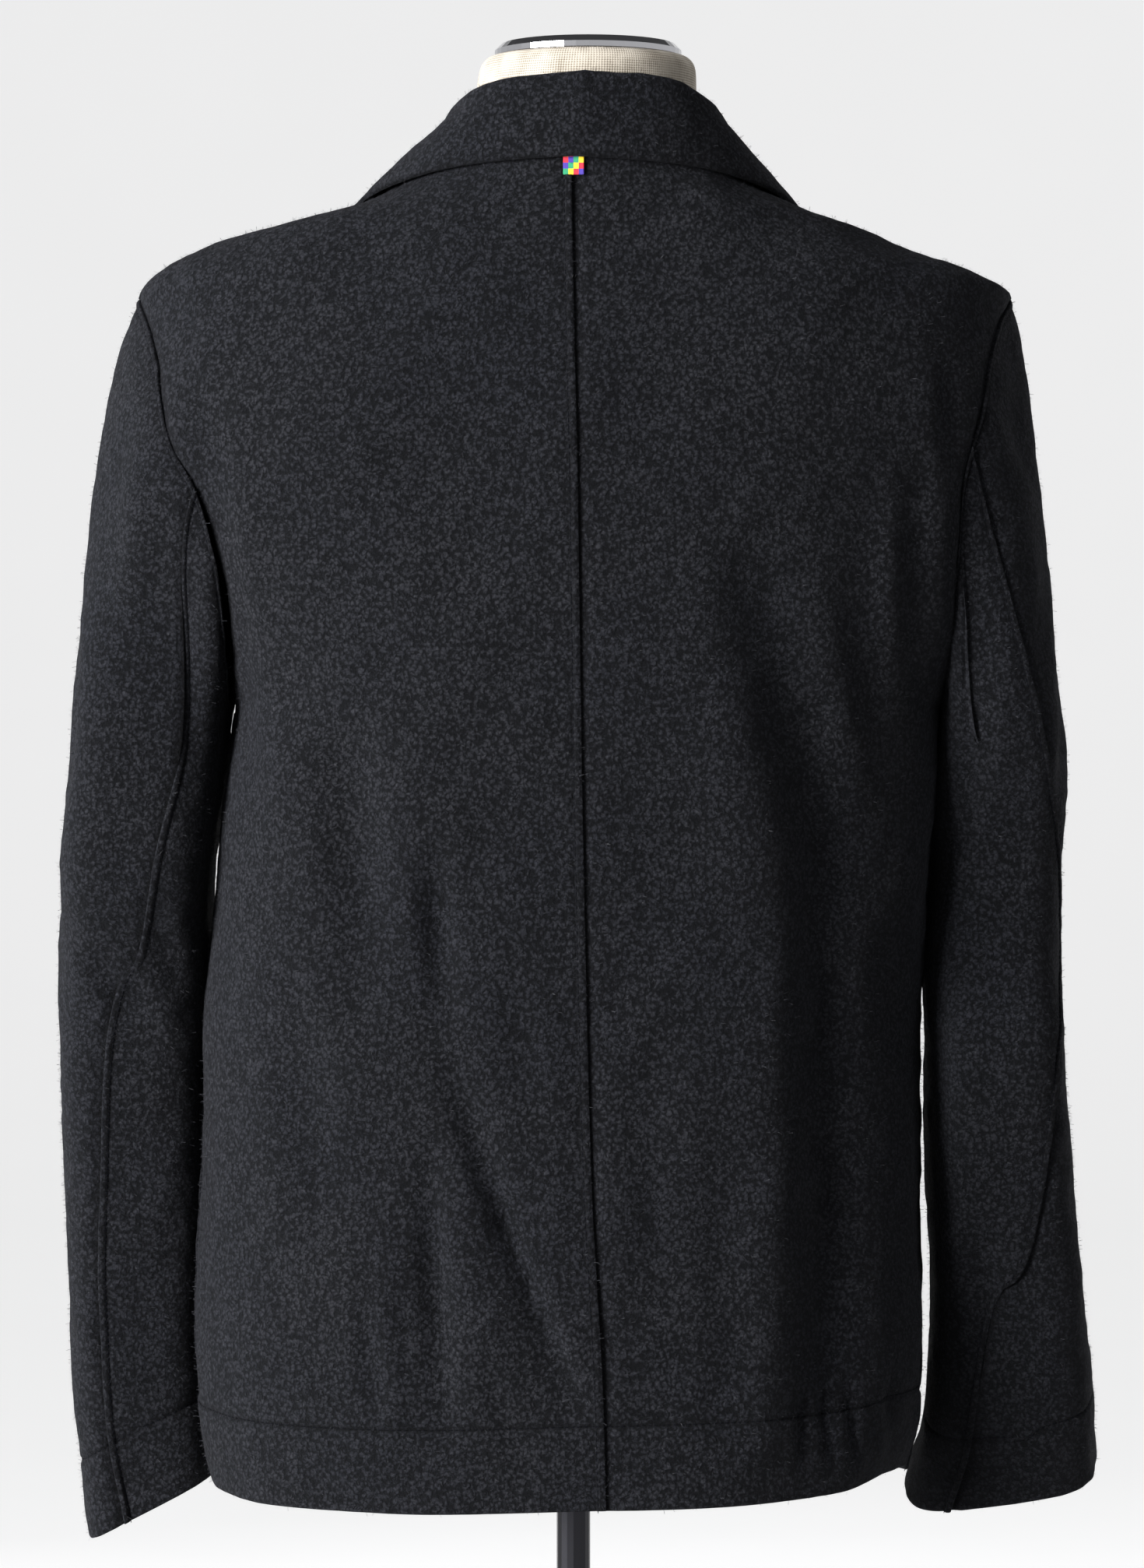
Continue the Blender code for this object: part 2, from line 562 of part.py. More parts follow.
def lapped_front(grid, offsets, side):
    """The front with its lap past the middle; the right one runs in under the left."""
    extra = []
    for past in (FRONT_LAP, 0.4 * FRONT_LAP):
        column = grid[:, 0].copy()
        column[:, 0] = -side * past
        for r, row in enumerate(grid):
            for axis in (1, 2):
                column[r, axis] = np.interp(past, np.abs(row[:, 0]), row[:, axis])
        column[-1, 2] -= LAP_DIP
        extra.append(column)
    wide = np.concatenate([np.stack(extra, axis=1), grid], axis=1)
    shift = np.concatenate([offsets[:, :1], offsets[:, :1], offsets], axis=1)
    if side == RIGHT:
        under = np.clip((wide[..., 0] + LAP_EASE_FROM) / (LAP_EASE_FROM - LAP_EASE_TO), 0, 1)
        ease = (under * under * (3 - 2 * under))[..., None]
        wide = wide - shift * ease * (CLOTH + FRONT_CLEAR)
    return wide, shift


def make_sleeves(grids, offsets, wool, collection):
    """Each sleeve in two pieces, which meet along the seams behind and before the arm."""
    words = {LEFT: "left", RIGHT: "right"}
    for side in (LEFT, RIGHT):
        loop = armhole_loop(grids, side)
        trunk_normals = armhole_loop(offsets, side)
        outer = sleeve_grid(side, loop)
        shift = ring_normals(outer)
        shift[0] = mitred(trunk_normals, shift[0])
        inner = outer - CLOTH * shift
        hind, fore, count = HIND_CELL[side], FORE_CELL, 2 * ARMHOLE_ROWS
        under = list(range(hind, fore + 1))
        over = list(range(fore - count, hind + 1))
        edges = ("first_row", "first_column", "last_column")
        for word, columns in (("under", under), ("top", over)):
            cloth_wall(f"sleeve_{word}_{words[side]}",
                       pulled_back(outer[:, columns], edges=edges),
                       pulled_back(inner[:, columns], edges=edges), wool, collection)


def share_armhole(grids, offsets):
    """Gives the panels' armhole edges the offset that they share with the sleeve."""
    for side in (LEFT, RIGHT):
        loop = armhole_loop(grids, side)
        joint = mitred(armhole_loop(offsets, side), ring_normals(sleeve_grid(side, loop))[0])
        rows = loop_rows()
        half = len(rows)
        offsets_behind = joint[:half]
        offsets_before = np.concatenate([joint[:1], joint[:half - 2:-1]])
        yield side, rows, offsets_behind, offsets_before


def collar_column(side, column, grids, offsets):
    """One section of the collar, from the neckline over its fold to the edge of the fall."""
    face, place = column
    last = TRUNK_COLUMNS
    neck_outer = grids[side, face][-1, place]
    neck_inner = neck_outer - CLOTH * offsets[side, face][-1, place]
    angle = face * (90 - 90 * place / last)
    crest = np.array([float(smooth_between(CRESTS, "angle", name, angle)) for name in "xyz"])
    crest[0] = side * crest[0] + CREST_SHIFT * min(1.0, (angle + 90) / 90)
    bulge = float(smooth_between(CRESTS, "angle", "bulge", angle))
    out = unit(np.array([side * math.cos(math.radians(angle)), math.sin(math.radians(angle)), 0.0]))
    up = np.array([0.0, 0.0, 1.0])
    centre = crest - ROLL_RADIUS * up
    start = centre - ROLL_RADIUS * out
    finish = centre + ROLL_RADIUS * out
    u = float(smooth_between(FALL_EDGE, "angle", "u", angle))
    v = float(smooth_between(FALL_EDGE, "angle", "v", angle))
    tip = resting_point(side, face, u, v)
    points = [neck_inner, (neck_inner + start) / 2, start]
    for turn in (45, 90, 135):
        lean, rise = -math.cos(math.radians(turn)), math.sin(math.radians(turn))
        points.append(centre + ROLL_RADIUS * (lean * out + rise * up))
    points.append(finish)
    middle = finish + 0.5 * (tip - finish)
    middle = middle + bulge * unit(out + 0.6 * up)
    for t in (0.25, 0.5, 0.75, 1.0):
        points.append((1 - t) ** 2 * finish + 2 * t * (1 - t) * middle + t * t * tip)
    return np.array(points), neck_outer


def resting_point(side, face, u, v):
    """The visible face of the fall's edge, lying just above the trunk at u, v."""
    us = np.clip([u - PROBE, u, u + PROBE], 0, 1)
    vs = np.clip([v - PROBE, v, v + PROBE], 0, 3)
    patch = trunk_grid(side, face, us, vs)
    here = patch[1, 1]
    out = unit(np.cross(patch[2, 1] - patch[0, 1], patch[1, 2] - patch[1, 0]))
    out = out if np.dot(out, here - np.array([0, 0, here[2] - 0.05])) > 0 else -out
    near_tab = math.exp(-(here[0] / 0.02) ** 2) if face == BACK else 0.0
    clear = FALL_CLEAR + (FALL_CLEAR_AT_TAB - FALL_CLEAR) * near_tab
    return here + out * (clear + CLOTH)


def make_collar(grids, offsets, wool, collection):
    """The collar in one piece, from the left end round the back to the right end."""
    last = TRUNK_COLUMNS
    left = [(LEFT, (FRONT, c)) for c in range(last)] + [(LEFT, (BACK, c)) for c in range(last, -1, -1)]
    right = [(RIGHT, (BACK, c)) for c in range(1, last)] + [(RIGHT, (FRONT, c)) for c in range(last, -1, -1)]
    sections, bases = [], []
    for side, column in left + right:
        points, base = collar_column(side, column, grids, offsets)
        sections.append(points)
        bases.append(base)
    visible = np.array(sections)
    across = np.gradient(visible, axis=0)
    along = np.gradient(visible, axis=1)
    shift = unit(np.cross(along, across))
    outward = visible[:, 1] * np.array([1.0, 1.0, 0.0])
    if np.sum(shift[:, 1] * outward) < 0:
        shift = -shift
    hidden = visible + CLOTH * shift
    hidden[:, 0] = np.array(bases)
    edges = ("first_column",)
    cloth_wall("collar", pulled_back(visible, edges=edges), pulled_back(hidden, edges=edges),
               wool, collection)


def form_rings():
    """Rings of the torso and neck, each an oval that sinks towards the front."""
    turns = np.arange(TORSO_COLUMNS) / TORSO_COLUMNS * 2 * math.pi
    cos, sin = np.cos(turns), np.sin(turns)
    rings = []
    for row in FORM:
        x = row.x * np.sign(cos) * np.abs(cos) ** (2 / FORM_ROUNDNESS)
        depth = np.where(sin >= 0, row.y_back, row.y_front)
        y = depth * np.sign(sin) * np.abs(sin) ** (2 / FORM_ROUNDNESS)
        z_end = np.where(sin >= 0, row.z_back, row.z_front)
        quarter = np.arcsin(np.clip(np.abs(cos), 0, 1))
        z = z_end + (row.z_side - z_end) * (1 - np.cos(quarter))
        lean = np.clip((row.z_side - NECK_FROM) / (FORM[-1].z_side - NECK_FROM), 0, 1)
        rings.append(np.stack([x + NECK_SHIFT * lean, y, z], axis=-1))
    return rings


def make_form(materials, collection):
    """The torso and neck, the cap on it, the pole under it and the round base."""
    lofted("form_torso", form_rings(), materials["linen"], collection)
    top = FORM[-1].z_side + SEAM_GAP
    rim = 0.35 * CAP_THICK
    cap = [(0.0, CAP_THICK), (CAP_RADIUS - rim, CAP_THICK), (CAP_RADIUS, CAP_THICK - rim),
           (CAP_RADIUS, rim), (CAP_RADIUS - rim, 0.0), (0.0, 0.0)]
    turned("form_cap", cap, (NECK_SHIFT, 0.0, top), materials["chrome"], collection)
    foot = FORM[0].z_side - SEAM_GAP
    start = BASE_THICK + HUB_THICK + SEAM_GAP
    pole = [(0.0, foot), (POLE_RADIUS, foot), (POLE_RADIUS, start), (0.0, start)]
    turned("form_pole", pole, (0.0, 0.0, 0.0), materials["dark_steel"], collection, steps=SMALL_STEPS)
    high = BASE_THICK + HUB_THICK
    edge = 0.25 * BASE_THICK
    base = [(0.0, high), (HUB_RADIUS - edge, high), (HUB_RADIUS, high - edge),
            (HUB_RADIUS, BASE_THICK), (BASE_RADIUS - edge, BASE_THICK),
            (BASE_RADIUS, BASE_THICK - edge), (BASE_RADIUS, 0.0), (0.0, 0.0)]
    turned("form_base", base, (0.0, 0.0, 0.0), materials["dark_steel"], collection)


def make_buttons(material, collection):
    """Round buttons down the middle of the front, each flat on the left front."""
    levels = np.linspace(0.2, 2.0, 181)
    middle = trunk_grid(LEFT, FRONT, [0.0, 0.02], levels)[:, 0]
    for count, height in enumerate(BUTTON_HEIGHTS, 1):
        y = np.interp(height, middle[:, 2], middle[:, 1])
        y_above = np.interp(height + 0.01, middle[:, 2], middle[:, 1])
        y_below = np.interp(height - 0.01, middle[:, 2], middle[:, 1])
        lean = math.atan2(y_above - y_below, 0.02)
        rim = 0.2 * BUTTON_THICK
        profile = [(0.0, 0.75 * BUTTON_THICK), (0.62 * BUTTON_RADIUS, 0.75 * BUTTON_THICK),
                   (0.74 * BUTTON_RADIUS, BUTTON_THICK), (BUTTON_RADIUS - rim, BUTTON_THICK),
                   (BUTTON_RADIUS, BUTTON_THICK - rim), (BUTTON_RADIUS, rim),
                   (BUTTON_RADIUS - rim, 0.0), (0.0, 0.0)]
        turned(f"button_{count}", profile, (0.0, y - SEAM_GAP, height), material, collection,
               steps=SMALL_STEPS, rotation=(math.pi / 2 - lean, 0.0, 0.0))


def make_tab(material, collection):
    """A short woven loop, pressed flat, that hangs from under the fall at the middle of the back."""
    levels = np.linspace(2.5, 3.0, 101)
    middle = trunk_grid(LEFT, BACK, [0.0, 0.02], levels)[:, 0]
    y = np.interp(TAB_HEIGHT, middle[:, 2], middle[:, 1])
    y_above = np.interp(TAB_HEIGHT + 0.005, middle[:, 2], middle[:, 1])
    y_below = np.interp(TAB_HEIGHT - 0.005, middle[:, 2], middle[:, 1])
    lean = math.atan2(y_below - y_above, 0.010)
    bpy.ops.mesh.primitive_cube_add(size=1.0)
    tab = bpy.context.active_object
    tab.name = "tab"
    for link in list(tab.users_collection):
        link.objects.unlink(tab)
    collection.objects.link(tab)
    for vert in tab.data.vertices:
        vert.co.x *= TAB_WIDTH
        vert.co.y *= TAB_THICK
        vert.co.z *= TAB_LENGTH
    bevel = tab.modifiers.new("rounded", "BEVEL")
    bevel.width = 0.3 * TAB_THICK
    bevel.segments = 2
    tab.location = (0.0, y + (TAB_THICK / 2 + SEAM_GAP) / math.cos(lean), TAB_HEIGHT)
    tab.rotation_euler = (lean, 0.0, 0.0)
    tab.data.materials.append(material)


def main():
    clear_scene()
    collection = new_collection("short_coat_on_dress_form")
    materials = {name: new_material(name) for name in FINISHES}
    wool = materials["boiled_wool"]
    grids, offsets = trunk_panels()
    shared = list(share_armhole(grids, offsets))
    make_sleeves(grids, offsets, wool, collection)
    for side, rows, behind, before in shared:
        offsets[side, BACK][rows, -1] = behind
        offsets[side, FRONT][rows, -1] = before
    make_trunk(grids, offsets, wool, collection)
    make_collar(grids, offsets, wool, collection)
    make_form(materials, collection)
    make_buttons(materials["horn"], collection)
    make_tab(materials["ribbon"], collection)


main()
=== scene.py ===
"""A short coat of boiled wool on its dress form, seen from behind in a pale studio.

Metres, +Z up. The coat faces -Y and the wearer's left is +X. The cloth pieces are fine walls on the
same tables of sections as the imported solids, with creases, lapped seams, stitches and nap on them.
"""
import math
from collections import namedtuple

import bmesh
import bpy
import numpy as np
from mathutils import Matrix, Vector


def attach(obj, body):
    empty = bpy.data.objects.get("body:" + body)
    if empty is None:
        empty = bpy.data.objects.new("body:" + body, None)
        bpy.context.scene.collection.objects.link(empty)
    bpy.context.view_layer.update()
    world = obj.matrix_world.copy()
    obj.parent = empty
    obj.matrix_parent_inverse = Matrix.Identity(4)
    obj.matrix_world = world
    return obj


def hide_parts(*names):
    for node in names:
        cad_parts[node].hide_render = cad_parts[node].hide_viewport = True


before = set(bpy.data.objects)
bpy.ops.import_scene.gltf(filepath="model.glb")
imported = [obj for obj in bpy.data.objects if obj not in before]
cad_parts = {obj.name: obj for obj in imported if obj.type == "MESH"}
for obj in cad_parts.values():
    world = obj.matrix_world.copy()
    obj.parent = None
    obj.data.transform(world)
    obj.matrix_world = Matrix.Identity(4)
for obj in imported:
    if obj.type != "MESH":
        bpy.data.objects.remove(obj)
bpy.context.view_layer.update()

# Driving sizes
CLOTH = 0.0024
SEAM_GAP = 0.0003
FRONT_LAP = 0.020
FRONT_CLEAR = 0.0014
LAP_EASE_FROM, LAP_EASE_TO = 0.078, 0.042
LAP_DIP = 0.0015
COLLAR_END = 0.004
ROLL_RADIUS = 0.005
CREST_SHIFT = -0.006
FALL_CLEAR = 0.0012
FALL_CLEAR_AT_TAB = 0.0026
BUTTON_HEIGHTS = (1.190, 1.075, 0.960, 0.845)
BUTTON_THICK = 0.0040
TAB_WIDTH, TAB_LENGTH = 0.011, 0.013
TAB_HEIGHT = 1.3205

LEFT, RIGHT = 1, -1
BACK, FRONT = 1, -1
WORDS = {LEFT: "left", RIGHT: "right"}

# How the sleeves and the folds are shaped
HEAD_SPACING = 1.25
HEAD_FULLNESS = 0.85
TIP_OUTWARD = {LEFT: 0.51, RIGHT: 0.23}
UNDERARM_OUTWARD = 0.10
FOLD_FADE_AT_SIDE, FOLD_FADE_ABOVE = 0.2, 0.5
FOLD_BANK, FOLD_BANK_AT, FOLD_BANK_NARROW = 0.4, 1.7, 1.5
CREASE_BANK, CREASE_PAST = 0.45, 0.08
CREASE_SWAY, CREASE_WAVES, CREASE_PHASE = 0.22, 5.0, 40.0
PROBE = 0.02

# Sections of the trunk. Level 0 is the hem, 1 the underarm, 2 the shoulder tip and 3 the neckline.
Level = namedtuple("Level", "v z_side x_left x_right z_back y_back z_front y_front roundness")
LEVELS = (
    Level(0.00, 0.6170, 0.1965, 0.1800, 0.612, 0.1340, 0.6120, 0.1360, 2.4),
    Level(0.08, 0.6500, 0.2030, 0.1875, 0.648, 0.1325, 0.6480, 0.1345, 2.4),
    Level(0.20, 0.7000, 0.2055, 0.1890, 0.700, 0.1300, 0.7000, 0.1330, 2.4),
    Level(0.40, 0.7800, 0.2022, 0.1890, 0.780, 0.1260, 0.7800, 0.1300, 2.4),
    Level(0.60, 0.8640, 0.2006, 0.1880, 0.864, 0.1220, 0.8640, 0.1270, 2.4),
    Level(0.78, 0.9350, 0.1942, 0.1925, 0.935, 0.1210, 0.9350, 0.1260, 2.4),
    Level(0.92, 0.9920, 0.1887, 0.1955, 0.992, 0.1230, 0.9920, 0.1270, 2.4),
    Level(1.00, 1.0300, 0.1855, 0.1975, 1.030, 0.1250, 1.0300, 0.1280, 2.4),
    Level(1.10, 1.0370, 0.1857, 0.1985, 1.048, 0.1257, 1.0480, 0.1282, 2.4),
    Level(1.20, 1.0550, 0.1863, 0.2000, 1.068, 0.1265, 1.0660, 0.1280, 2.4),
    Level(1.30, 1.0850, 0.1880, 0.2030, 1.092, 0.1270, 1.0860, 0.1275, 2.4),
    Level(1.40, 1.1200, 0.1930, 0.2055, 1.120, 0.1275, 1.1080, 0.1265, 2.4),
    Level(1.50, 1.1500, 0.2020, 0.2075, 1.147, 0.1270, 1.1300, 0.1245, 2.4),
    Level(1.60, 1.1720, 0.2140, 0.2125, 1.172, 0.1255, 1.1500, 0.1220, 2.35),
    Level(1.70, 1.1950, 0.2205, 0.2200, 1.196, 0.1230, 1.1690, 0.1185, 2.3),
    Level(1.80, 1.2200, 0.2250, 0.2245, 1.220, 0.1190, 1.1880, 0.1145, 2.2),
    Level(1.90, 1.2400, 0.2305, 0.2290, 1.242, 0.1140, 1.2060, 0.1100, 2.15),
    Level(2.00, 1.2560, 0.2355, 0.2370, 1.262, 0.1080, 1.2220, 0.1050, 2.1),
    Level(2.14, 1.2655, 0.2300, 0.2225, 1.272, 0.1055, 1.2300, 0.1020, 2.1),
    Level(2.28, 1.2715, 0.2205, 0.2015, 1.282, 0.1025, 1.2380, 0.0990, 2.05),
    Level(2.43, 1.2795, 0.2014, 0.1823, 1.292, 0.0995, 1.2450, 0.0955, 2.0),
    Level(2.57, 1.2870, 0.1690, 0.1658, 1.302, 0.0965, 1.2520, 0.0920, 2.0),
    Level(2.71, 1.2950, 0.1330, 0.1375, 1.312, 0.0940, 1.2590, 0.0885, 2.0),
    Level(2.86, 1.3050, 0.1080, 0.1080, 1.323, 0.0920, 1.2655, 0.0850, 2.0),
    Level(3.00, 1.3185, 0.0910, 0.0910, 1.334, 0.0900, 1.2720, 0.0810, 2.0),
)

# The armhole's reach behind and before the side, and how far the front is cut in from the back.
Hole = namedtuple("Hole", "v behind before cut_in")
ARMHOLE = (
    Hole(1.0, 0.000, 0.000, 0.0000),
    Hole(1.1, 0.022, 0.022, 0.0000),
    Hole(1.2, 0.043, 0.043, 0.0005),
    Hole(1.3, 0.062, 0.062, 0.0010),
    Hole(1.4, 0.070, 0.072, 0.0030),
    Hole(1.5, 0.070, 0.074, 0.0060),
    Hole(1.6, 0.067, 0.071, 0.0090),
    Hole(1.7, 0.060, 0.063, 0.0080),
    Hole(1.8, 0.048, 0.050, 0.0045),
    Hole(1.9, 0.030, 0.031, 0.0020),
    Hole(2.0, 0.000, 0.000, 0.0000),
)

# The seam down the middle of the back swings a little to the right on its way to the hem.
Seam = namedtuple("Seam", "z x")
BACK_SEAM = (
    Seam(0.612, -0.0170), Seam(0.670, -0.0155), Seam(0.780, -0.0095), Seam(0.992, -0.0045),
    Seam(1.160, -0.0020), Seam(1.250, 0.0000), Seam(1.334, 0.0010),
)

# How the hem dips on the left and rises on the right, between its middle and its sides.
Swing = namedtuple("Swing", "u rise")
HEM_SWING = {
    LEFT: (Swing(0.0, 0.0005), Swing(0.3, -0.0032), Swing(0.6, -0.0038), Swing(0.85, -0.0020),
           Swing(1.0, 0.0)),
    RIGHT: (Swing(0.0, 0.0005), Swing(0.3, 0.0022), Swing(0.55, 0.0045), Swing(0.72, 0.0085),
            Swing(0.88, 0.0080), Swing(1.0, 0.0020)),
}
HEM_SWING_UP_TO = 0.3

# Sections of the sleeves from the biceps to the cuff: the outermost and innermost x, half the
# depth, the middle's y, the angle of the seam behind, and how the section tips outward and back.
Arm = namedtuple("Arm", "z outer inner depth y seam tip_out tip_back")
SLEEVES = {
    LEFT: (
        Arm(1.000, 0.2740, 0.1885, 0.076, -0.024, 102, 0.00, 0.0),
        Arm(0.950, 0.2775, 0.1968, 0.071, -0.016, 96, 0.00, 0.0),
        Arm(0.900, 0.2800, 0.1990, 0.068, -0.030, 91, 0.00, 0.0),
        Arm(0.850, 0.2815, 0.1985, 0.066, -0.038, 84, 0.00, 0.0),
        Arm(0.780, 0.2800, 0.1995, 0.063, -0.048, 79, -0.04, 0.0),
        Arm(0.710, 0.2772, 0.2010, 0.061, -0.056, 75, -0.14, 0.0),
        Arm(0.650, 0.2745, 0.2005, 0.059, -0.062, 76, -0.30, 0.0),
        Arm(0.5950, 0.2665, 0.1960, 0.057, -0.066, 80, -0.52, 0.0),
    ),
    RIGHT: (
        Arm(1.000, 0.2665, 0.1957, 0.078, -0.030, 58, 0.00, 0.0),
        Arm(0.950, 0.2665, 0.1930, 0.076, -0.044, 36, 0.00, 0.0),
        Arm(0.900, 0.2652, 0.1912, 0.072, -0.036, 16, 0.00, 0.0),
        Arm(0.850, 0.2674, 0.1930, 0.068, -0.018, 40, 0.02, 0.0),
        Arm(0.780, 0.2716, 0.1935, 0.062, -0.022, 70, 0.05, 0.0),
        Arm(0.710, 0.2790, 0.1962, 0.055, -0.029, 95, 0.09, -0.12),
        Arm(0.650, 0.2858, 0.1935, 0.048, -0.036, 106, 0.12, -0.26),
        Arm(0.6145, 0.2880, 0.1830, 0.041, -0.040, 110, 0.14, -0.37),
    ),
}
SLEEVE_ROUNDNESS, SLEEVE_FLATNESS = 2.2, 3.8
FORE_SEAM = 285
HIND_CELL = {LEFT: 5, RIGHT: 4}
FORE_CELL = 14

# The collar by the angle round the neck, 90 at the middle of the back and -90 at the front: the
# crest of its fold, and where the edge of its fall lies on the trunk.
Crest = namedtuple("Crest", "angle x y z bulge")
CRESTS = (
    Crest(-90, 0.0080, -0.0770, 1.289, 0.006),
    Crest(-60, 0.0390, -0.0675, 1.301, 0.007),
    Crest(-30, 0.0650, -0.0400, 1.321, 0.006),
    Crest(0, 0.0765, 0.0020, 1.342, 0.003),
    Crest(30, 0.0680, 0.0460, 1.356, 0.002),
    Crest(60, 0.0430, 0.0780, 1.367, 0.001),
    Crest(90, 0.0000, 0.0900, 1.371, 0.001),
)
Edge = namedtuple("Edge", "angle u v")
FALL_EDGE = (
    Edge(-90, 0.27, 2.03), Edge(-60, 0.44, 2.30), Edge(-30, 0.70, 2.60), Edge(0, 1.00, 2.77),
    Edge(30, 0.67, 2.80), Edge(60, 0.33, 2.84), Edge(90, 0.00, 2.86),
)

# Soft folds of the trunk: a trough from one point to another across the panel.
Fold = namedtuple("Fold", "side face x_top z_top x_low z_low width depth")
FOLDS = (
    Fold(LEFT, BACK, 0.071, 0.960, 0.070, 0.850, 0.018, 0.0045),
    Fold(LEFT, BACK, 0.060, 0.850, 0.006, 0.660, 0.015, 0.0040),
    Fold(LEFT, BACK, 0.077, 0.810, 0.070, 0.640, 0.012, 0.0045),
    Fold(LEFT, BACK, 0.118, 1.030, 0.108, 0.850, 0.024, 0.0045),
    Fold(RIGHT, BACK, -0.095, 1.130, -0.135, 0.900, 0.026, 0.0045),
    Fold(RIGHT, BACK, -0.125, 0.900, -0.135, 0.630, 0.024, 0.0045),
    Fold(LEFT, FRONT, 0.100, 1.000, 0.120, 0.700, 0.025, 0.0050),
    Fold(LEFT, FRONT, 0.062, 0.860, 0.050, 0.630, 0.018, 0.0040),
    Fold(RIGHT, FRONT, -0.105, 1.040, -0.122, 0.760, 0.026, 0.0050),
    Fold(RIGHT, FRONT, -0.070, 0.840, -0.060, 0.640, 0.018, 0.0040),
)

# Sections of the form from its flat underside to the top of its neck.
Body = namedtuple("Body", "z_side x z_back y_back z_front y_front")
FORM = (
    Body(0.6600, 0.1450, 0.660, 0.1020, 0.660, 0.106),
    Body(0.6660, 0.1510, 0.666, 0.1065, 0.666, 0.110),
    Body(0.7000, 0.1570, 0.700, 0.1110, 0.700, 0.114),
    Body(0.8000, 0.1610, 0.800, 0.1100, 0.800, 0.113),
    Body(0.9000, 0.1530, 0.900, 0.1020, 0.900, 0.107),
    Body(0.9800, 0.1570, 0.980, 0.1050, 0.980, 0.113),
    Body(1.0600, 0.1660, 1.060, 0.1110, 1.055, 0.117),
    Body(1.1300, 0.1730, 1.130, 0.1130, 1.110, 0.115),
    Body(1.1900, 0.1800, 1.182, 0.1100, 1.160, 0.109),
    Body(1.2350, 0.1860, 1.225, 0.1030, 1.195, 0.100),
    Body(1.2620, 0.1865, 1.252, 0.0950, 1.213, 0.090),
    Body(1.2760, 0.1790, 1.268, 0.0890, 1.228, 0.081),
    Body(1.2828, 0.1650, 1.280, 0.0840, 1.240, 0.074),
    Body(1.2900, 0.1350, 1.293, 0.0790, 1.250, 0.068),
    Body(1.2990, 0.1090, 1.306, 0.0730, 1.258, 0.064),
    Body(1.3110, 0.0830, 1.319, 0.0680, 1.268, 0.060),
    Body(1.3310, 0.0665, 1.336, 0.0630, 1.288, 0.057),
    Body(1.3500, 0.0615, 1.353, 0.0600, 1.325, 0.056),
    Body(1.3740, 0.0600, 1.374, 0.0580, 1.370, 0.056),
    Body(1.3815, 0.0592, 1.3815, 0.0575, 1.380, 0.0555),
    Body(1.3850, 0.0570, 1.3850, 0.0555, 1.3845, 0.0540),
    Body(1.3868, 0.0545, 1.3868, 0.0535, 1.3865, 0.0530),
    Body(1.3872, 0.0525, 1.3872, 0.0523, 1.3870, 0.0523),
    Body(1.3866, 0.0517, 1.3866, 0.0517, 1.3866, 0.0517),
    Body(1.3839, 0.0516, 1.3839, 0.0516, 1.3839, 0.0516),
)
FORM_ROUNDNESS = 2.15
NECK_SHIFT = -0.008
NECK_FROM = 1.26
NECK_TOP = 1.384
LIP_BELOW = 0.0530
FORM_SIDES, NECK_ROUND = 32, 0.365

# The finer cloth. Sewn edges have their columns close together, at these distances.
TRUNK_SPAN, TRUNK_DROP, SLEEVE_CELL, HEAD_DROP = 0.25, 0.42, 0.023, 0.2
EDGE_STEPS = (0.0005, 0.0011, 0.0018, 0.0026, 0.0033, 0.0040, 0.0047, 0.0056, 0.0070, 0.0088)
PANEL_COLUMNS = 68
HEM_FINE, ARMHOLE_FINE, SHOULDER_FINE = 130, 76, 40
SLEEVE_COLUMNS = 72
HEAD_FINE, ARM_FINE = 44, 126
COLLAR_FINE_COLUMNS = 200
HEM_DEPTH = 0.044
HEM_LEVEL_RISE = 0.447
HEM_ROWS_REACH, HEM_ROWS = 0.0045, 11
CUFF_ROWS_REACH, CUFF_ROWS = 0.006, 13
SLEEVE_MIDDLE_X, SLEEVE_MIDDLE_Y = 0.225, -0.01

# How a lapped seam stands: the upper cloth climbs, its row of stitches pulls in, the lower sinks.
Lap = namedtuple("Lap", "rise width stitch_in groove sink sink_width")
CENTRE_LAP = Lap(0.0013, 0.0040, 0.0042, 0.0006, 0.0011, 0.0080)
ARM_LAP = Lap(0.0010, 0.0036, 0.0038, 0.0005, 0.0009, 0.0070)
GROOVE_HALF = 0.0009
STITCH_PULL = 0.0008
HEM_PROUD, CUFF_PROUD, PROUD_OVER = 0.0005, 0.0004, 0.002
TURN_ROUND, TURN_ROUND_OVER = 0.0009, 0.0016
FRONT_STITCH_IN, FRONT_ROUND_OVER = 0.006, 0.001
STITCH_PITCH, STITCH_LENGTH, STITCH_RADIUS, STITCH_LIFT = 0.0034, 0.0026, 0.00026, 0.00010
NAP_LENGTH, NAP_WIDTH, NAP_TILT, NAP_DENSITY = 0.0022, 0.00015, 1.25, 62000.0
UNDERARM_CALM = 0.2
VENT_LENGTH, VENT_GAPE = 0.062, 1.2
HOLE_APART, HOLE_RADIUS, CROSS_HALF, CROSS_THICK = 0.0017, 0.0009, 0.0028, 0.00042
BUTTONHOLE_FROM, BUTTONHOLE_TO, BUTTONHOLE_HALF = -0.0170, 0.0040, 0.0010
EDGE_ROUND, EDGE_ROUND_OVER = 0.0007, 0.0007
HOLE_MARK, CROSS_LIFT, SLIT_HALF, SLIT_THICK = 0.0001, 0.0003, 0.0005, 0.0003
LEAN_STEP = 0.01

# How strong the painted shade is along stitches, cuffs, seams and the fall's edge, and how wide it
# spreads
SHADE_AT_STITCHES, SHADE_AT_CUFF, SHADE_AT_EDGE, SHADE_AT_COLLAR = 0.7, 0.9, 0.8, 0.6
SHADE_HALF = 0.0013

# Rows of points that stitches follow, noted by each panel as it is made
STITCH_ROWS = []

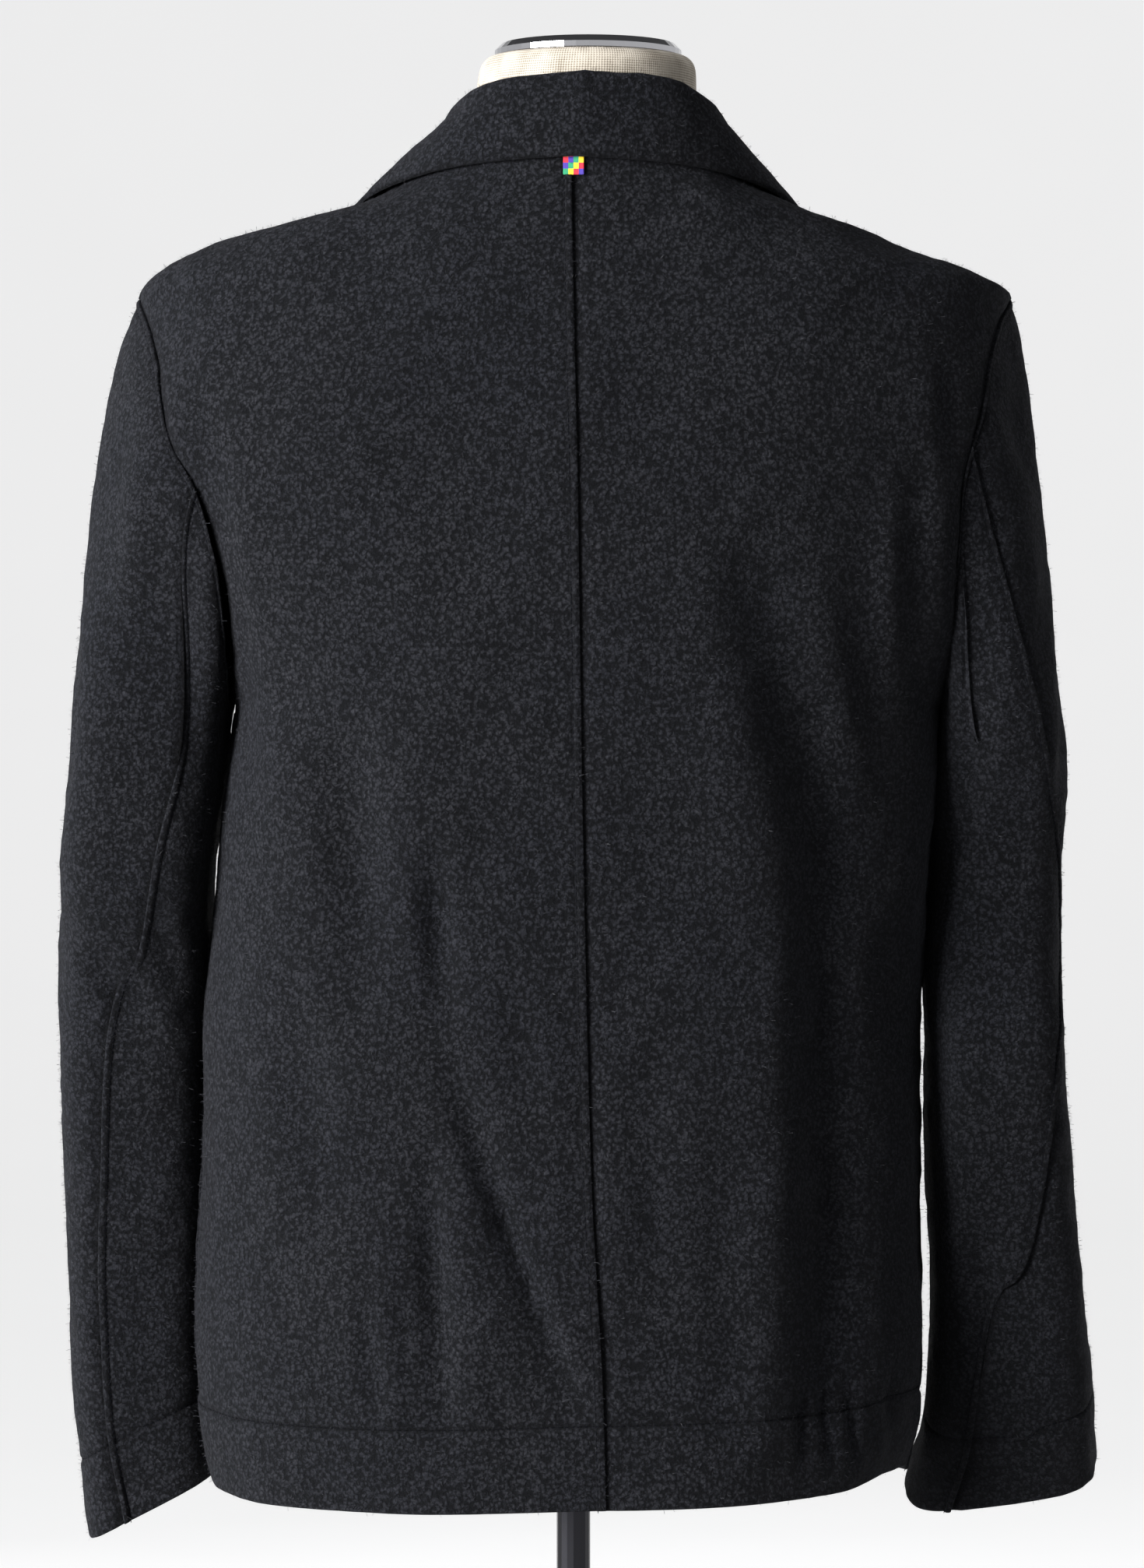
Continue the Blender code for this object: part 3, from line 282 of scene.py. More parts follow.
# Creases beyond the folds that the solids have. Each runs from one point to another of a piece,
# seen along the named axis, and only where the cloth faces that way.
Crease = namedtuple("Crease", "piece facing across_top z_top across_low z_low width depth")
CREASES = (
    Crease("back_left", "+y", 0.0715, 0.968, 0.0700, 0.862, 0.0070, 0.0040),
    Crease("back_left", "+y", 0.0655, 0.850, 0.0020, 0.664, 0.0068, 0.0040),
    Crease("back_left", "+y", 0.0745, 0.805, 0.0710, 0.650, 0.0058, 0.0034),
    Crease("back_left", "+y", 0.0900, 0.760, 0.0860, 0.640, 0.0080, 0.0018),
    Crease("back_left", "+y", 0.1070, 0.742, 0.1040, 0.648, 0.0060, 0.0022),
    Crease("back_left", "+y", 0.1150, 1.025, 0.1110, 0.870, 0.0130, 0.0036),
    Crease("back_left", "+y", 0.0330, 0.915, 0.0210, 0.780, 0.0090, 0.0018),
    Crease("back_left", "+y", 0.0470, 0.700, 0.0250, 0.625, 0.0060, 0.0016),
    Crease("back_left", "+y", 0.1450, 0.900, 0.1380, 0.740, 0.0130, 0.0024),
    Crease("back_left", "+y", 0.1950, 1.195, 0.1790, 0.990, 0.0110, 0.0050),
    Crease("back_right", "+y", -0.0960, 1.125, -0.1330, 0.925, 0.0170, 0.0052),
    Crease("back_right", "+y", -0.1370, 0.950, -0.1300, 0.655, 0.0150, 0.0052),
    Crease("back_right", "+y", -0.1550, 1.120, -0.1700, 0.960, 0.0130, 0.0030),
    Crease("back_right", "+y", -0.1480, 1.120, -0.1490, 0.640, 0.0300, 0.0088),
    Crease("back_right", "+y", -0.1560, 0.925, -0.1540, 0.850, 0.0120, -0.0034),
    Crease("back_right", "+y", -0.2010, 1.225, -0.1990, 1.150, 0.0065, 0.0026),
    Crease("back_right", "+y", -0.1840, 1.165, -0.1800, 1.020, 0.0085, 0.0040),
    Crease("back_right", "+y", -0.0450, 0.870, -0.0380, 0.720, 0.0110, 0.0020),
    Crease("back_right", "+y", -0.0850, 0.800, -0.0800, 0.640, 0.0110, 0.0020),
    Crease("back_right", "+y", -0.1220, 0.676, -0.1210, 0.628, 0.0034, 0.0018),
    Crease("back_right", "+y", -0.1350, 0.680, -0.1355, 0.628, 0.0032, 0.0021),
    Crease("back_right", "+y", -0.1480, 0.682, -0.1490, 0.627, 0.0030, 0.0021),
    Crease("back_right", "+y", -0.1700, 0.684, -0.1700, 0.628, 0.0034, 0.0022),
    Crease("front_left", "-y", 0.0980, 1.010, 0.1200, 0.720, 0.0120, 0.0038),
    Crease("front_left", "-y", 0.0620, 0.850, 0.0480, 0.650, 0.0080, 0.0032),
    Crease("front_left", "-y", 0.1500, 0.980, 0.1460, 0.820, 0.0120, 0.0026),
    Crease("front_left", "-y", 0.1900, 1.165, 0.1700, 1.010, 0.0100, 0.0046),
    Crease("front_right", "-y", -0.1030, 1.045, -0.1210, 0.770, 0.0120, 0.0038),
    Crease("front_right", "-y", -0.0730, 0.835, -0.0620, 0.650, 0.0080, 0.0030),
    Crease("front_right", "-y", -0.1560, 0.930, -0.1500, 0.760, 0.0120, 0.0024),
    Crease("front_right", "-y", -0.1960, 1.180, -0.1760, 1.020, 0.0095, 0.0044),
    Crease("sleeve_top_left", "+y", 0.2440, 1.185, 0.2560, 1.075, 0.0090, 0.0026),
    Crease("sleeve_top_left", "+x", 0.0100, 1.090, 0.0300, 0.960, 0.0120, 0.0030),
    Crease("sleeve_top_left", "+x", -0.0250, 0.930, -0.0050, 0.860, 0.0090, 0.0028),
    Crease("sleeve_top_left", "+y", 0.2560, 0.905, 0.2350, 0.850, 0.0085, 0.0020),
    Crease("sleeve_top_left", "+y", 0.2480, 0.730, 0.2440, 0.640, 0.0090, 0.0020),
    Crease("sleeve_under_left", "+y", 0.2120, 1.120, 0.2090, 0.980, 0.0100, 0.0042),
    Crease("sleeve_under_left", "+y", 0.2230, 0.930, 0.2100, 0.860, 0.0080, 0.0024),
    Crease("sleeve_top_right", "+y", -0.2360, 1.205, -0.2450, 1.155, 0.0070, 0.0026),
    Crease("sleeve_top_right", "+y", -0.2520, 1.120, -0.2600, 1.000, 0.0100, 0.0024),
    Crease("sleeve_top_right", "-x", 0.0120, 1.080, 0.0350, 0.950, 0.0120, 0.0028),
    Crease("sleeve_top_right", "-x", -0.0200, 0.900, 0.0050, 0.840, 0.0090, 0.0026),
    Crease("sleeve_top_right", "+y", -0.2500, 0.880, -0.2330, 0.820, 0.0085, 0.0024),
    Crease("sleeve_under_right", "+y", -0.2180, 1.090, -0.2060, 0.950, 0.0100, 0.0038),
    Crease("sleeve_under_right", "+y", -0.2250, 0.770, -0.2180, 0.650, 0.0100, 0.0032),
    Crease("sleeve_top_left", "-y", 0.2460, 1.150, 0.2540, 1.030, 0.0090, 0.0026),
    Crease("sleeve_top_left", "-y", 0.2500, 0.900, 0.2300, 0.850, 0.0085, 0.0026),
    Crease("sleeve_top_right", "-y", -0.2460, 1.150, -0.2540, 1.030, 0.0090, 0.0026),
    Crease("sleeve_top_right", "-y", -0.2480, 0.910, -0.2300, 0.855, 0.0085, 0.0026),
)
FACINGS = {"+x": (1, 0), "-x": (-1, 0), "+y": (0, 1), "-y": (0, -1)}

# Unevenness of the felted cloth: how far apart its swells are, how high, and a seed.
Swell = namedtuple("Swell", "apart high seed")
SWELLS = (Swell(0.085, 0.00075, 11), Swell(0.032, 0.00026, 12), Swell(0.012, 0.00013, 13))

# Flat size of each cut piece and its area, in metres and square metres
Cut = namedtuple("Cut", "width length area")

# Studio, lights and camera
Light = namedtuple("Light", "name place aim size power")
LIGHTS = (
    Light("key_left", (2.60, 2.12, 1.50), (0.0, 0.0, 1.0), 2.0, 392.0),
    Light("side_right", (-3.0, 0.9, 1.9), (0.0, 0.0, 1.0), 1.6, 15.0),
    Light("front_left", (1.9, -2.8, 2.2), (0.0, 0.0, 1.0), 1.6, 110.0),
    Light("front_right", (-2.4, -2.4, 1.6), (0.0, 0.0, 1.0), 2.0, 45.0),
    Light("top_soft", (0.6, 0.9, 3.6), (0.0, 0.0, 1.1), 1.6, 22.0),
)
STUDIO_FLOOR, STUDIO_COVE, STUDIO_WALL = 10.0, 4.0, 8.0
STUDIO_GLOW = 0.74
AIR_COLOUR, AIR_STRENGTH = (0.97, 0.98, 1.0), 0.09
CAMERA_PLACE, CAMERA_LENS = (0.0008, 3.2, 0.992), 134.9


def smooth_between(table, key, name, where):
    """A column of a table read at any place, with no overshoot between its rows."""
    xs = np.array([getattr(row, key) for row in table], float)
    ys = np.array([getattr(row, name) for row in table], float)
    if xs[0] > xs[-1]:
        xs, ys = xs[::-1], ys[::-1]
    steps = np.diff(xs)
    rises = np.diff(ys) / steps
    slopes = np.zeros(len(xs))
    slopes[0], slopes[-1] = rises[0], rises[-1]
    before, after = rises[:-1], rises[1:]
    same = before * after > 0
    total = np.where(same, before + after, 1.0)
    slopes[1:-1] = np.where(same, 2 * before * after / total, 0.0)
    where = np.clip(np.asarray(where, float), xs[0], xs[-1])
    cell = np.clip(np.searchsorted(xs, where) - 1, 0, len(steps) - 1)
    width = steps[cell]
    t = (where - xs[cell]) / width
    start, end = ys[cell], ys[cell + 1]
    pull_start, pull_end = slopes[cell] * width, slopes[cell + 1] * width
    bend = (2 * t ** 3 - 3 * t ** 2 + 1) * start + (t ** 3 - 2 * t ** 2 + t) * pull_start
    return bend + (3 * t ** 2 - 2 * t ** 3) * end + (t ** 3 - t ** 2) * pull_end


def unit(vectors):
    """The vectors at length 1."""
    return vectors / np.maximum(np.linalg.norm(vectors, axis=-1, keepdims=True), 1e-12)


def arc(u, reach, depth, y_edge, roundness):
    """A quarter of a rounded oval from the middle (u 0) to the edge (u 1), as shares across and y."""
    share = np.clip(y_edge / depth, 0, 0.98)
    across_at_edge = (1 - share ** roundness) ** (1 / roundness)
    angle_at_edge = np.arctan2(share ** (roundness / 2), across_at_edge ** (roundness / 2))
    angle = math.pi / 2 - u * (math.pi / 2 - angle_at_edge)
    across = np.abs(np.cos(angle)) ** (2 / roundness) / across_at_edge
    return across * reach, depth * np.sin(angle) ** (2 / roundness)


def trunk_grid(side, face, us, vs):
    """Outer points of a trunk panel: rows go up from the hem, columns from the middle to the side."""
    v = np.asarray(vs, float)[:, None]
    u = np.asarray(us, float)[None, :]
    ends = ("z_back", "y_back") if face == BACK else ("z_front", "y_front")
    z_middle = smooth_between(LEVELS, "v", ends[0], v)
    depth = smooth_between(LEVELS, "v", ends[1], v)
    reach = smooth_between(LEVELS, "v", "x_left" if side == LEFT else "x_right", v)
    hole = "behind" if face == BACK else "before"
    y_edge = smooth_between(ARMHOLE, "v", hole, v)
    if face == FRONT:
        reach = reach - smooth_between(ARMHOLE, "v", "cut_in", v)
        x_middle = np.full_like(v, side * COLLAR_END)
    else:
        x_middle = smooth_between(BACK_SEAM, "z", "x", z_middle)
    roundness = smooth_between(LEVELS, "v", "roundness", v)
    across, y = arc(u, 1.0, depth, y_edge, roundness)
    x = x_middle + (side * reach - x_middle) * across
    z_side = smooth_between(LEVELS, "v", "z_side", v)
    z = z_middle + (z_side - z_middle) * (1 - np.cos(u * math.pi / 2))
    low = np.clip(1 - v / HEM_SWING_UP_TO, 0, 1) ** 2
    z = z + low * smooth_between(HEM_SWING[side], "u", "rise", u)
    grid = np.stack(np.broadcast_arrays(x, face * y, z), axis=-1)
    return folded(grid, side, face, u, v)


def folded(grid, side, face, u, v):
    """The grid with its soft folds pressed in, which fade out at the side and the seams above."""
    calm = np.clip((1.0 - u) / FOLD_FADE_AT_SIDE, 0, 1)
    calm = calm * np.clip((2.0 - v) / FOLD_FADE_ABOVE, 0, 1)
    if face == FRONT:
        calm = calm * np.clip((np.abs(grid[..., 0]) - LAP_EASE_TO) / FRONT_LAP, 0, 1)
    press = np.zeros(grid.shape[:2])
    for fold in FOLDS:
        if (fold.side, fold.face) != (side, face):
            continue
        along = (fold.z_top - grid[..., 2]) / (fold.z_top - fold.z_low)
        line = fold.x_top + (fold.x_low - fold.x_top) * along
        off = (grid[..., 0] - line) / fold.width
        shown = np.sin(np.clip(along, 0, 1) * math.pi) ** 0.7
        banks = np.exp(-(np.abs(off) - FOLD_BANK_AT) ** 2 * FOLD_BANK_NARROW)
        press += fold.depth * shown * (np.exp(-off ** 2) - FOLD_BANK * banks)
    grid = grid.copy()
    grid[..., 1] -= face * press * calm
    return grid


def normals_of(grid, inside):
    """Unit normals of a grid, turned away from the points inside."""
    down = np.gradient(grid, axis=0)
    across = np.gradient(grid, axis=1)
    normals = unit(np.cross(down, across))
    flipped = np.sum(normals * (grid - inside), axis=-1).sum() < 0
    return -normals if flipped else normals


def resting_point(side, face, u, v):
    """The visible face of the fall's edge, lying just above the trunk at u, v."""
    us = np.clip([u - PROBE, u, u + PROBE], 0, 1)
    vs = np.clip([v - PROBE, v, v + PROBE], 0, 3)
    patch = trunk_grid(side, face, us, vs)
    here = patch[1, 1]
    out = unit(np.cross(patch[2, 1] - patch[0, 1], patch[1, 2] - patch[1, 0]))
    out = out if np.dot(out, here - np.array([0, 0, here[2] - 0.05])) > 0 else -out
    near_tab = math.exp(-(here[0] / 0.02) ** 2) if face == BACK else 0.0
    clear = FALL_CLEAR + (FALL_CLEAR_AT_TAB - FALL_CLEAR) * near_tab
    return here + out * (clear + CLOTH)


def edge_distances(grid, axis):
    """How far each point lies along its row or column from the first and from the last point."""
    steps = np.linalg.norm(np.diff(grid, axis=axis), axis=-1)
    start = np.zeros_like(np.take(steps, [0], axis=axis))
    run = np.concatenate([start, np.cumsum(steps, axis=axis)], axis=axis)
    return run, np.take(run, [-1], axis=axis) - run


def crowded(count, span, first=True, last=True):
    """Shares from 0 to 1 with more of them close to the sewn edges."""
    near = np.array(EDGE_STEPS) / span
    shares = [np.linspace(0.0, 1.0, count + 1)]
    clear = np.ones(count + 1, bool)
    if first:
        shares.append(near)
        clear &= (shares[0] == 0) | (shares[0] > near[-1] * 1.1)
    if last:
        shares.append(1 - near)
        clear &= (shares[0] == 1) | (shares[0] < 1 - near[-1] * 1.1)
    shares[0] = shares[0][clear]
    return np.unique(np.concatenate(shares))


def eased(share):
    """A share from 0 to 1 that starts and ends softly."""
    share = np.clip(share, 0, 1)
    return share * share * (3 - 2 * share)


def lap_over(distance, lap):
    """Height of the upper cloth of a lapped seam at a distance from its raw edge."""
    climb = lap.rise * eased((lap.stitch_in + GROOVE_HALF - distance) / (2 * GROOVE_HALF))
    groove = lap.groove * np.exp(-((distance - lap.stitch_in) / GROOVE_HALF) ** 2)
    rounding = EDGE_ROUND * np.clip(1 - distance / EDGE_ROUND_OVER, 0, 1) ** 2
    return climb - groove - rounding


def lap_under(distance, lap):
    """Depth of the lower cloth, which runs in under the raw edge of the upper one."""
    return -lap.sink * eased(1 - distance / lap.sink_width)


def stitched(distance, at):
    """The shallow channel that a row of stitches pulls into the cloth."""
    return -STITCH_PULL * np.exp(-((distance - at) / (1.3 * GROOVE_HALF)) ** 2)


def shaded(distance, at, half=SHADE_HALF):
    """How much painted shade darkens the cloth beside a seam or along its stitches, in a channel or
    under a lap.
    """
    return np.exp(-((distance - at) / half) ** 2)


def line_at(surface, distance, at, axis):
    """Points of the surface at a set distance from an edge, one for each row or column."""
    if axis == 0:
        surface, distance = surface.swapaxes(0, 1), distance.T
    return np.array([[np.interp(at, run, place) for place in ends.T]
                     for ends, run in zip(surface, distance)])


def sew(surface, normals, distance, at, axis, part=slice(None)):
    """Notes a row of stitches that runs at a set distance from an edge of the surface."""
    points = line_at(surface, distance, at, axis)[part]
    out = unit(line_at(normals, distance, at, axis))[part]
    STITCH_ROWS.append(points + STITCH_LIFT * out)


def uneven(points, swell):
    """Smooth unevenness from -1 to 1 or so, about as far apart as the swell says."""
    pick = np.random.default_rng(swell.seed)
    ways = unit(pick.normal(size=(22, 3)))
    lengths = 2 * math.pi / swell.apart * pick.uniform(0.6, 1.5, (22, 1))
    phases = pick.uniform(0, 2 * math.pi, 22)
    return np.sin(points @ (ways * lengths).T + phases).sum(axis=-1) / math.sqrt(11)


def creased(grid, normals, piece):
    """How far the creases of one piece move each of its points along its normal."""
    move = np.zeros(grid.shape[:2])
    for crease in CREASES:
        if crease.piece != piece:
            continue
        way_x, way_y = FACINGS[crease.facing]
        across = grid[..., 0] if way_x == 0 else grid[..., 1]
        facing = np.clip(normals[..., 0] * way_x + normals[..., 1] * way_y, 0, 1) ** 0.5
        along = (crease.z_top - grid[..., 2]) / (crease.z_top - crease.z_low)
        line = crease.across_top + (crease.across_low - crease.across_top) * along
        phase = CREASE_PHASE * crease.width * crease.z_top
        line = line + CREASE_SWAY * crease.width * np.sin(CREASE_WAVES * along + phase)
        off = (across - line) / crease.width
        within = (along > -CREASE_PAST) & (along < 1 + CREASE_PAST)
        shown = np.sin(np.clip(along * 0.86 + 0.07, 0, 1) * math.pi) * within
        shown = np.clip(shown, 0, 1)
        banks = np.exp(-(np.abs(off) - FOLD_BANK_AT) ** 2 * FOLD_BANK_NARROW)
        move -= crease.depth * facing * shown * (np.exp(-off ** 2) - CREASE_BANK * banks)
    return move


def dressed(grid, normals, piece, laps, calm=1.0):
    """The grid with its creases, its unevenness and its seams' relief."""
    move = creased(grid, normals, piece) * calm
    for swell in SWELLS:
        move = move + swell.high * uneven(grid, swell)
    return grid + (move + laps)[..., None] * normals


def sew_buttonholes(surface):
    """Notes two rows of stitches beside each buttonhole of the left front."""
    xs = surface.mean(axis=0)[:, 0]
    columns = np.flatnonzero((xs > BUTTONHOLE_FROM) & (xs < BUTTONHOLE_TO))
    for height in BUTTON_HEIGHTS:
        for z in (height - BUTTONHOLE_HALF, height + BUTTONHOLE_HALF):
            row = np.array([[np.interp(z, column[:, 2], column[:, axis]) for axis in range(3)]
                            for column in surface[:, columns].swapaxes(0, 1)])
            STITCH_ROWS.append(row - (0.0, STITCH_LIFT, 0.0))


def wall_mesh(name, outer, inner, slot_name, dark):
    """A closed wall lofted between two grids, as a finished piece at the origin.

    It carries two attributes of its own: how much painted shade darkens each point, along seams,
    stitches and lapped edges, and which faces are the right side of the cloth.
    """
    rows, columns = outer.shape[:2]
    count = rows * columns
    index = np.arange(count).reshape(rows, columns)
    a, b = index[:-1, :-1].ravel(), index[:-1, 1:].ravel()
    c, d = index[1:, 1:].ravel(), index[1:, :-1].ravel()
    front = np.stack([a, b, c, d], axis=-1)
    behind = np.stack([d, c, b, a], axis=-1) + count
    rim = np.concatenate([index[0], index[1:, -1], index[-1, -2::-1], index[-2:0:-1, 0]])
    after = np.roll(rim, -1)
    edge = np.stack([after, rim, rim + count, after + count], axis=-1)
    faces = np.concatenate([front, behind, edge])
    points = np.concatenate([outer.reshape(-1, 3), inner.reshape(-1, 3)])
    made = finished_mesh(name, points, faces, slot_name)
    # Painted shade: this attribute darkens the wool along seams, stitches and under lapped edges
    painted_seam_shade = made.data.attributes.new("painted_seam_shade", "FLOAT", "POINT")
    painted_seam_shade.data.foreach_set("value", np.tile(np.clip(dark, 0, 1).ravel(), 2).astype(np.float32))
    right_side = made.data.attributes.new("right_side", "BOOLEAN", "FACE")
    right_side.data.foreach_set("value", np.arange(len(faces)) < len(front))
    return made


def linked(mesh, finish):
    """A mesh with its finish, as an object of the scene at the origin."""
    mesh.materials.clear()
    mesh.materials.append(finish)
    made = bpy.data.objects.new(mesh.name, mesh)
    bpy.context.scene.collection.objects.link(made)
    return made


def finished_mesh(name, points, faces, slot_name, smooth_under=50):
    """A smooth mesh of the given faces, with sharp edges kept past that angle."""
    mesh = bpy.data.meshes.new(name)
    mesh.from_pydata(points.tolist(), [], faces.tolist())
    bm = bmesh.new()
    bm.from_mesh(mesh)
    bmesh.ops.recalc_face_normals(bm, faces=bm.faces)
    bm.to_mesh(mesh)
    bm.free()
    mesh.shade_smooth()
    mesh.set_sharp_from_angle(angle=math.radians(smooth_under))
    return linked(mesh, FINISHES[slot_name])


def trunk_rows():
    """Levels of a panel's rows, closest together at the hem, its stitches and the armhole."""
    below = np.linspace(0.0, 1.0, HEM_FINE + 1)
    near_hem = np.array(EDGE_STEPS[:6]) / TRUNK_DROP
    near_stitches = HEM_DEPTH + np.linspace(-HEM_ROWS_REACH, HEM_ROWS_REACH, HEM_ROWS)
    beside = np.linspace(1.0, 2.0, ARMHOLE_FINE + 1)[1:]
    above = np.linspace(2.0, 3.0, SHOULDER_FINE + 1)[1:]
    return np.unique(np.concatenate(
        [below, near_hem, near_stitches / HEM_LEVEL_RISE, beside, above]))


def panel_grids():
    """Outer grid and normals of each trunk panel, before its relief."""
    us, vs = crowded(PANEL_COLUMNS, TRUNK_SPAN), trunk_rows()
    grids, normals = {}, {}
    for side in (LEFT, RIGHT):
        for face in (BACK, FRONT):
            grid = trunk_grid(side, face, us, vs)
            inside = np.zeros_like(grid)
            inside[..., 2] = grid[..., 2] - PROBE
            grids[side, face] = grid
            normals[side, face] = normals_of(grid, inside)
    return grids, normals, vs


def turned_up(from_end, proud):
    """Relief of a hem or cuff, which stands a little proud below its row of stitches."""
    stand = proud * eased((HEM_DEPTH - from_end) / PROUD_OVER)
    rounding = TURN_ROUND * np.clip(1 - from_end / TURN_ROUND_OVER, 0, 1) ** 2
    return stand + stitched(from_end, HEM_DEPTH) - rounding


def make_backs(grids, normals, vs):
    """Two back panels. The left one's raw edge laps over the right one down the middle."""
    made = []
    for side in (LEFT, RIGHT):
        piece = f"back_{WORDS[side]}"
        outer, out = grids[side, BACK], normals[side, BACK]
        from_middle, from_side = edge_distances(outer, 1)
        from_hem, _ = edge_distances(outer, 0)
        beside_arm = ((vs > 1.0) & (vs < 2.0))[:, None]
        laps = turned_up(from_hem, HEM_PROUD)
        if side == LEFT:
            laps = laps + lap_over(from_middle, CENTRE_LAP)
        else:
            laps = laps + lap_under(from_middle, CENTRE_LAP)
        over_side = lap_over(from_side, ARM_LAP)
        under_side = lap_under(from_side, ARM_LAP) * eased((vs[:, None] - 1.0) / UNDERARM_CALM)
        laps = laps + np.where(beside_arm, under_side, over_side)
        inner = outer - CLOTH * out
        surface = dressed(outer, out, piece, laps)
        # Painted shade at the hem's stitches, under the sleeve's lapped edge by the armhole and along
        # the side's stitches
        dark = shaded(from_hem, HEM_DEPTH)
        dark = dark + SHADE_AT_EDGE * np.where(beside_arm, shaded(from_side, 0.0, 0.004), 0)
        above_or_below = SHADE_AT_STITCHES * shaded(from_side, ARM_LAP.stitch_in)
        dark = dark + np.where(beside_arm, 0, above_or_below)
        sew(surface, out, from_hem, HEM_DEPTH, 0)
        sew(surface[:, ::-1], out[:, ::-1], from_side[:, ::-1], ARM_LAP.stitch_in, 1, vs <= 1.0)
        sew(surface[:, ::-1], out[:, ::-1], from_side[:, ::-1], ARM_LAP.stitch_in, 1, vs >= 2.0)
        if side == LEFT:
            sew(surface, out, from_middle, CENTRE_LAP.stitch_in, 1)
            # Painted shade along the middle seam's stitches
            dark = dark + SHADE_AT_STITCHES * shaded(from_middle, CENTRE_LAP.stitch_in)
        else:
            # Painted shadow of the left panel's lapped edge on the right panel
            dark = dark + shaded(from_middle, 0.0, 0.0022)
        made.append(wall_mesh(f"coat_{piece}", surface, dressed(inner, out, piece, laps),
                              "boiled_wool", dark))
    return made


def make_fronts(grids, normals):
    """Two fronts. The left one laps over the right one, and both run on past the middle."""
    made = []
    for side in (LEFT, RIGHT):
        piece = f"front_{WORDS[side]}"
        outer, out = lapped_front(grids[side, FRONT], normals[side, FRONT], side)
        from_edge, from_side = edge_distances(outer, 1)
        from_hem, _ = edge_distances(outer, 0)
        laps = turned_up(from_hem, HEM_PROUD) + stitched(from_edge, FRONT_STITCH_IN)
        laps = laps - EDGE_ROUND * np.clip(1 - from_edge / FRONT_ROUND_OVER, 0, 1) ** 2
        laps = laps + lap_under(from_side, ARM_LAP)
        calm = np.clip((np.abs(outer[..., 0]) - LAP_EASE_TO) / FRONT_LAP, 0, 1)
        inner = outer - CLOTH * out
        surface = dressed(outer, out, piece, laps, calm)
        sew(surface, out, from_hem, HEM_DEPTH, 0)
        if side == LEFT:
            sew(surface, out, from_edge, FRONT_STITCH_IN, 1)
            sew_buttonholes(surface)
        # Painted shade at the hem's and the front edge's stitches, and painted shadow under the
        # lapped side edge
        dark = shaded(from_hem, HEM_DEPTH) + SHADE_AT_STITCHES * shaded(from_edge, FRONT_STITCH_IN)
        dark = dark + SHADE_AT_EDGE * shaded(from_side, 0.0, 0.003)
        made.append(wall_mesh(f"coat_{piece}", surface, dressed(inner, out, piece, laps, calm),
                              "boiled_wool", dark))
    return made


def lapped_front(grid, normals, side):
    """The front with its lap past the middle; the right one runs in under the left."""
    extra = []
    fractions = [1.0] + [1 - step / FRONT_LAP for step in EDGE_STEPS[::2]] + [0.45, 0.3, 0.15, 0.0]
    for past in np.array(fractions) * FRONT_LAP:
        column = grid[:, 0].copy()
        column[:, 0] = -side * past
        for r, row in enumerate(grid):
            for axis in (1, 2):
                column[r, axis] = np.interp(past, np.abs(row[:, 0]), row[:, axis])
        column[-1, 2] -= LAP_DIP
        extra.append(column)
    wide = np.concatenate([np.stack(extra, axis=1), grid], axis=1)
    out = np.concatenate([np.repeat(normals[:, :1], len(extra), axis=1), normals], axis=1)
    if side == RIGHT:
        under = (wide[..., 0] + LAP_EASE_FROM) / (LAP_EASE_FROM - LAP_EASE_TO)
        wide = wide - out * eased(under)[..., None] * (CLOTH + FRONT_CLEAR)
    return wide, out


def armhole_points(side, cells):
    """Points of the armhole at places round it: 0 the tip, 10 the underarm, then up the front."""
    place = np.mod(cells, 20.0)
    levels = np.where(place <= 10, 2 - place / 10, 1 + (place - 10) / 10)
    behind = trunk_grid(side, BACK, [1.0], levels)[:, 0]
    before = trunk_grid(side, FRONT, [1.0], levels)[:, 0]
    return np.where((place <= 10)[:, None], behind, before)


def section_angles(side, seam, cells):
    """Angles round a sleeve's section, with a cell's edge on each of its two seams."""
    hind, fore = HIND_CELL[side], FORE_CELL
    under = seam + (FORE_SEAM - seam) * (cells - hind) / (fore - hind)
    over = seam + (FORE_SEAM - 360 - seam) * (hind - cells) / (hind - fore + 20)
    return np.radians(np.where(cells >= hind, under, over))


def sleeve_section(side, z, cells):
    """Outer points round a sleeve at one height, flatter behind than before."""
    table = SLEEVES[side]
    outer, inner, depth, y, seam, tip_out, tip_back = (
        float(smooth_between(table, "z", name, z)) for name in Arm._fields[1:]
    )
    angle = section_angles(side, seam, cells)
    cos, sin = np.cos(angle), np.sin(angle)
    power = 2 / (SLEEVE_ROUNDNESS + (SLEEVE_FLATNESS - SLEEVE_ROUNDNESS) * eased(sin * 1.5 + 0.5))
    out = (outer - inner) / 2 * np.sign(cos) * np.abs(cos) ** power
    back = depth * np.sign(sin) * np.abs(sin) ** power
    x = side * ((outer + inner) / 2 + out)
    return np.stack([x, y + back, z + tip_out * out + tip_back * back], axis=-1)


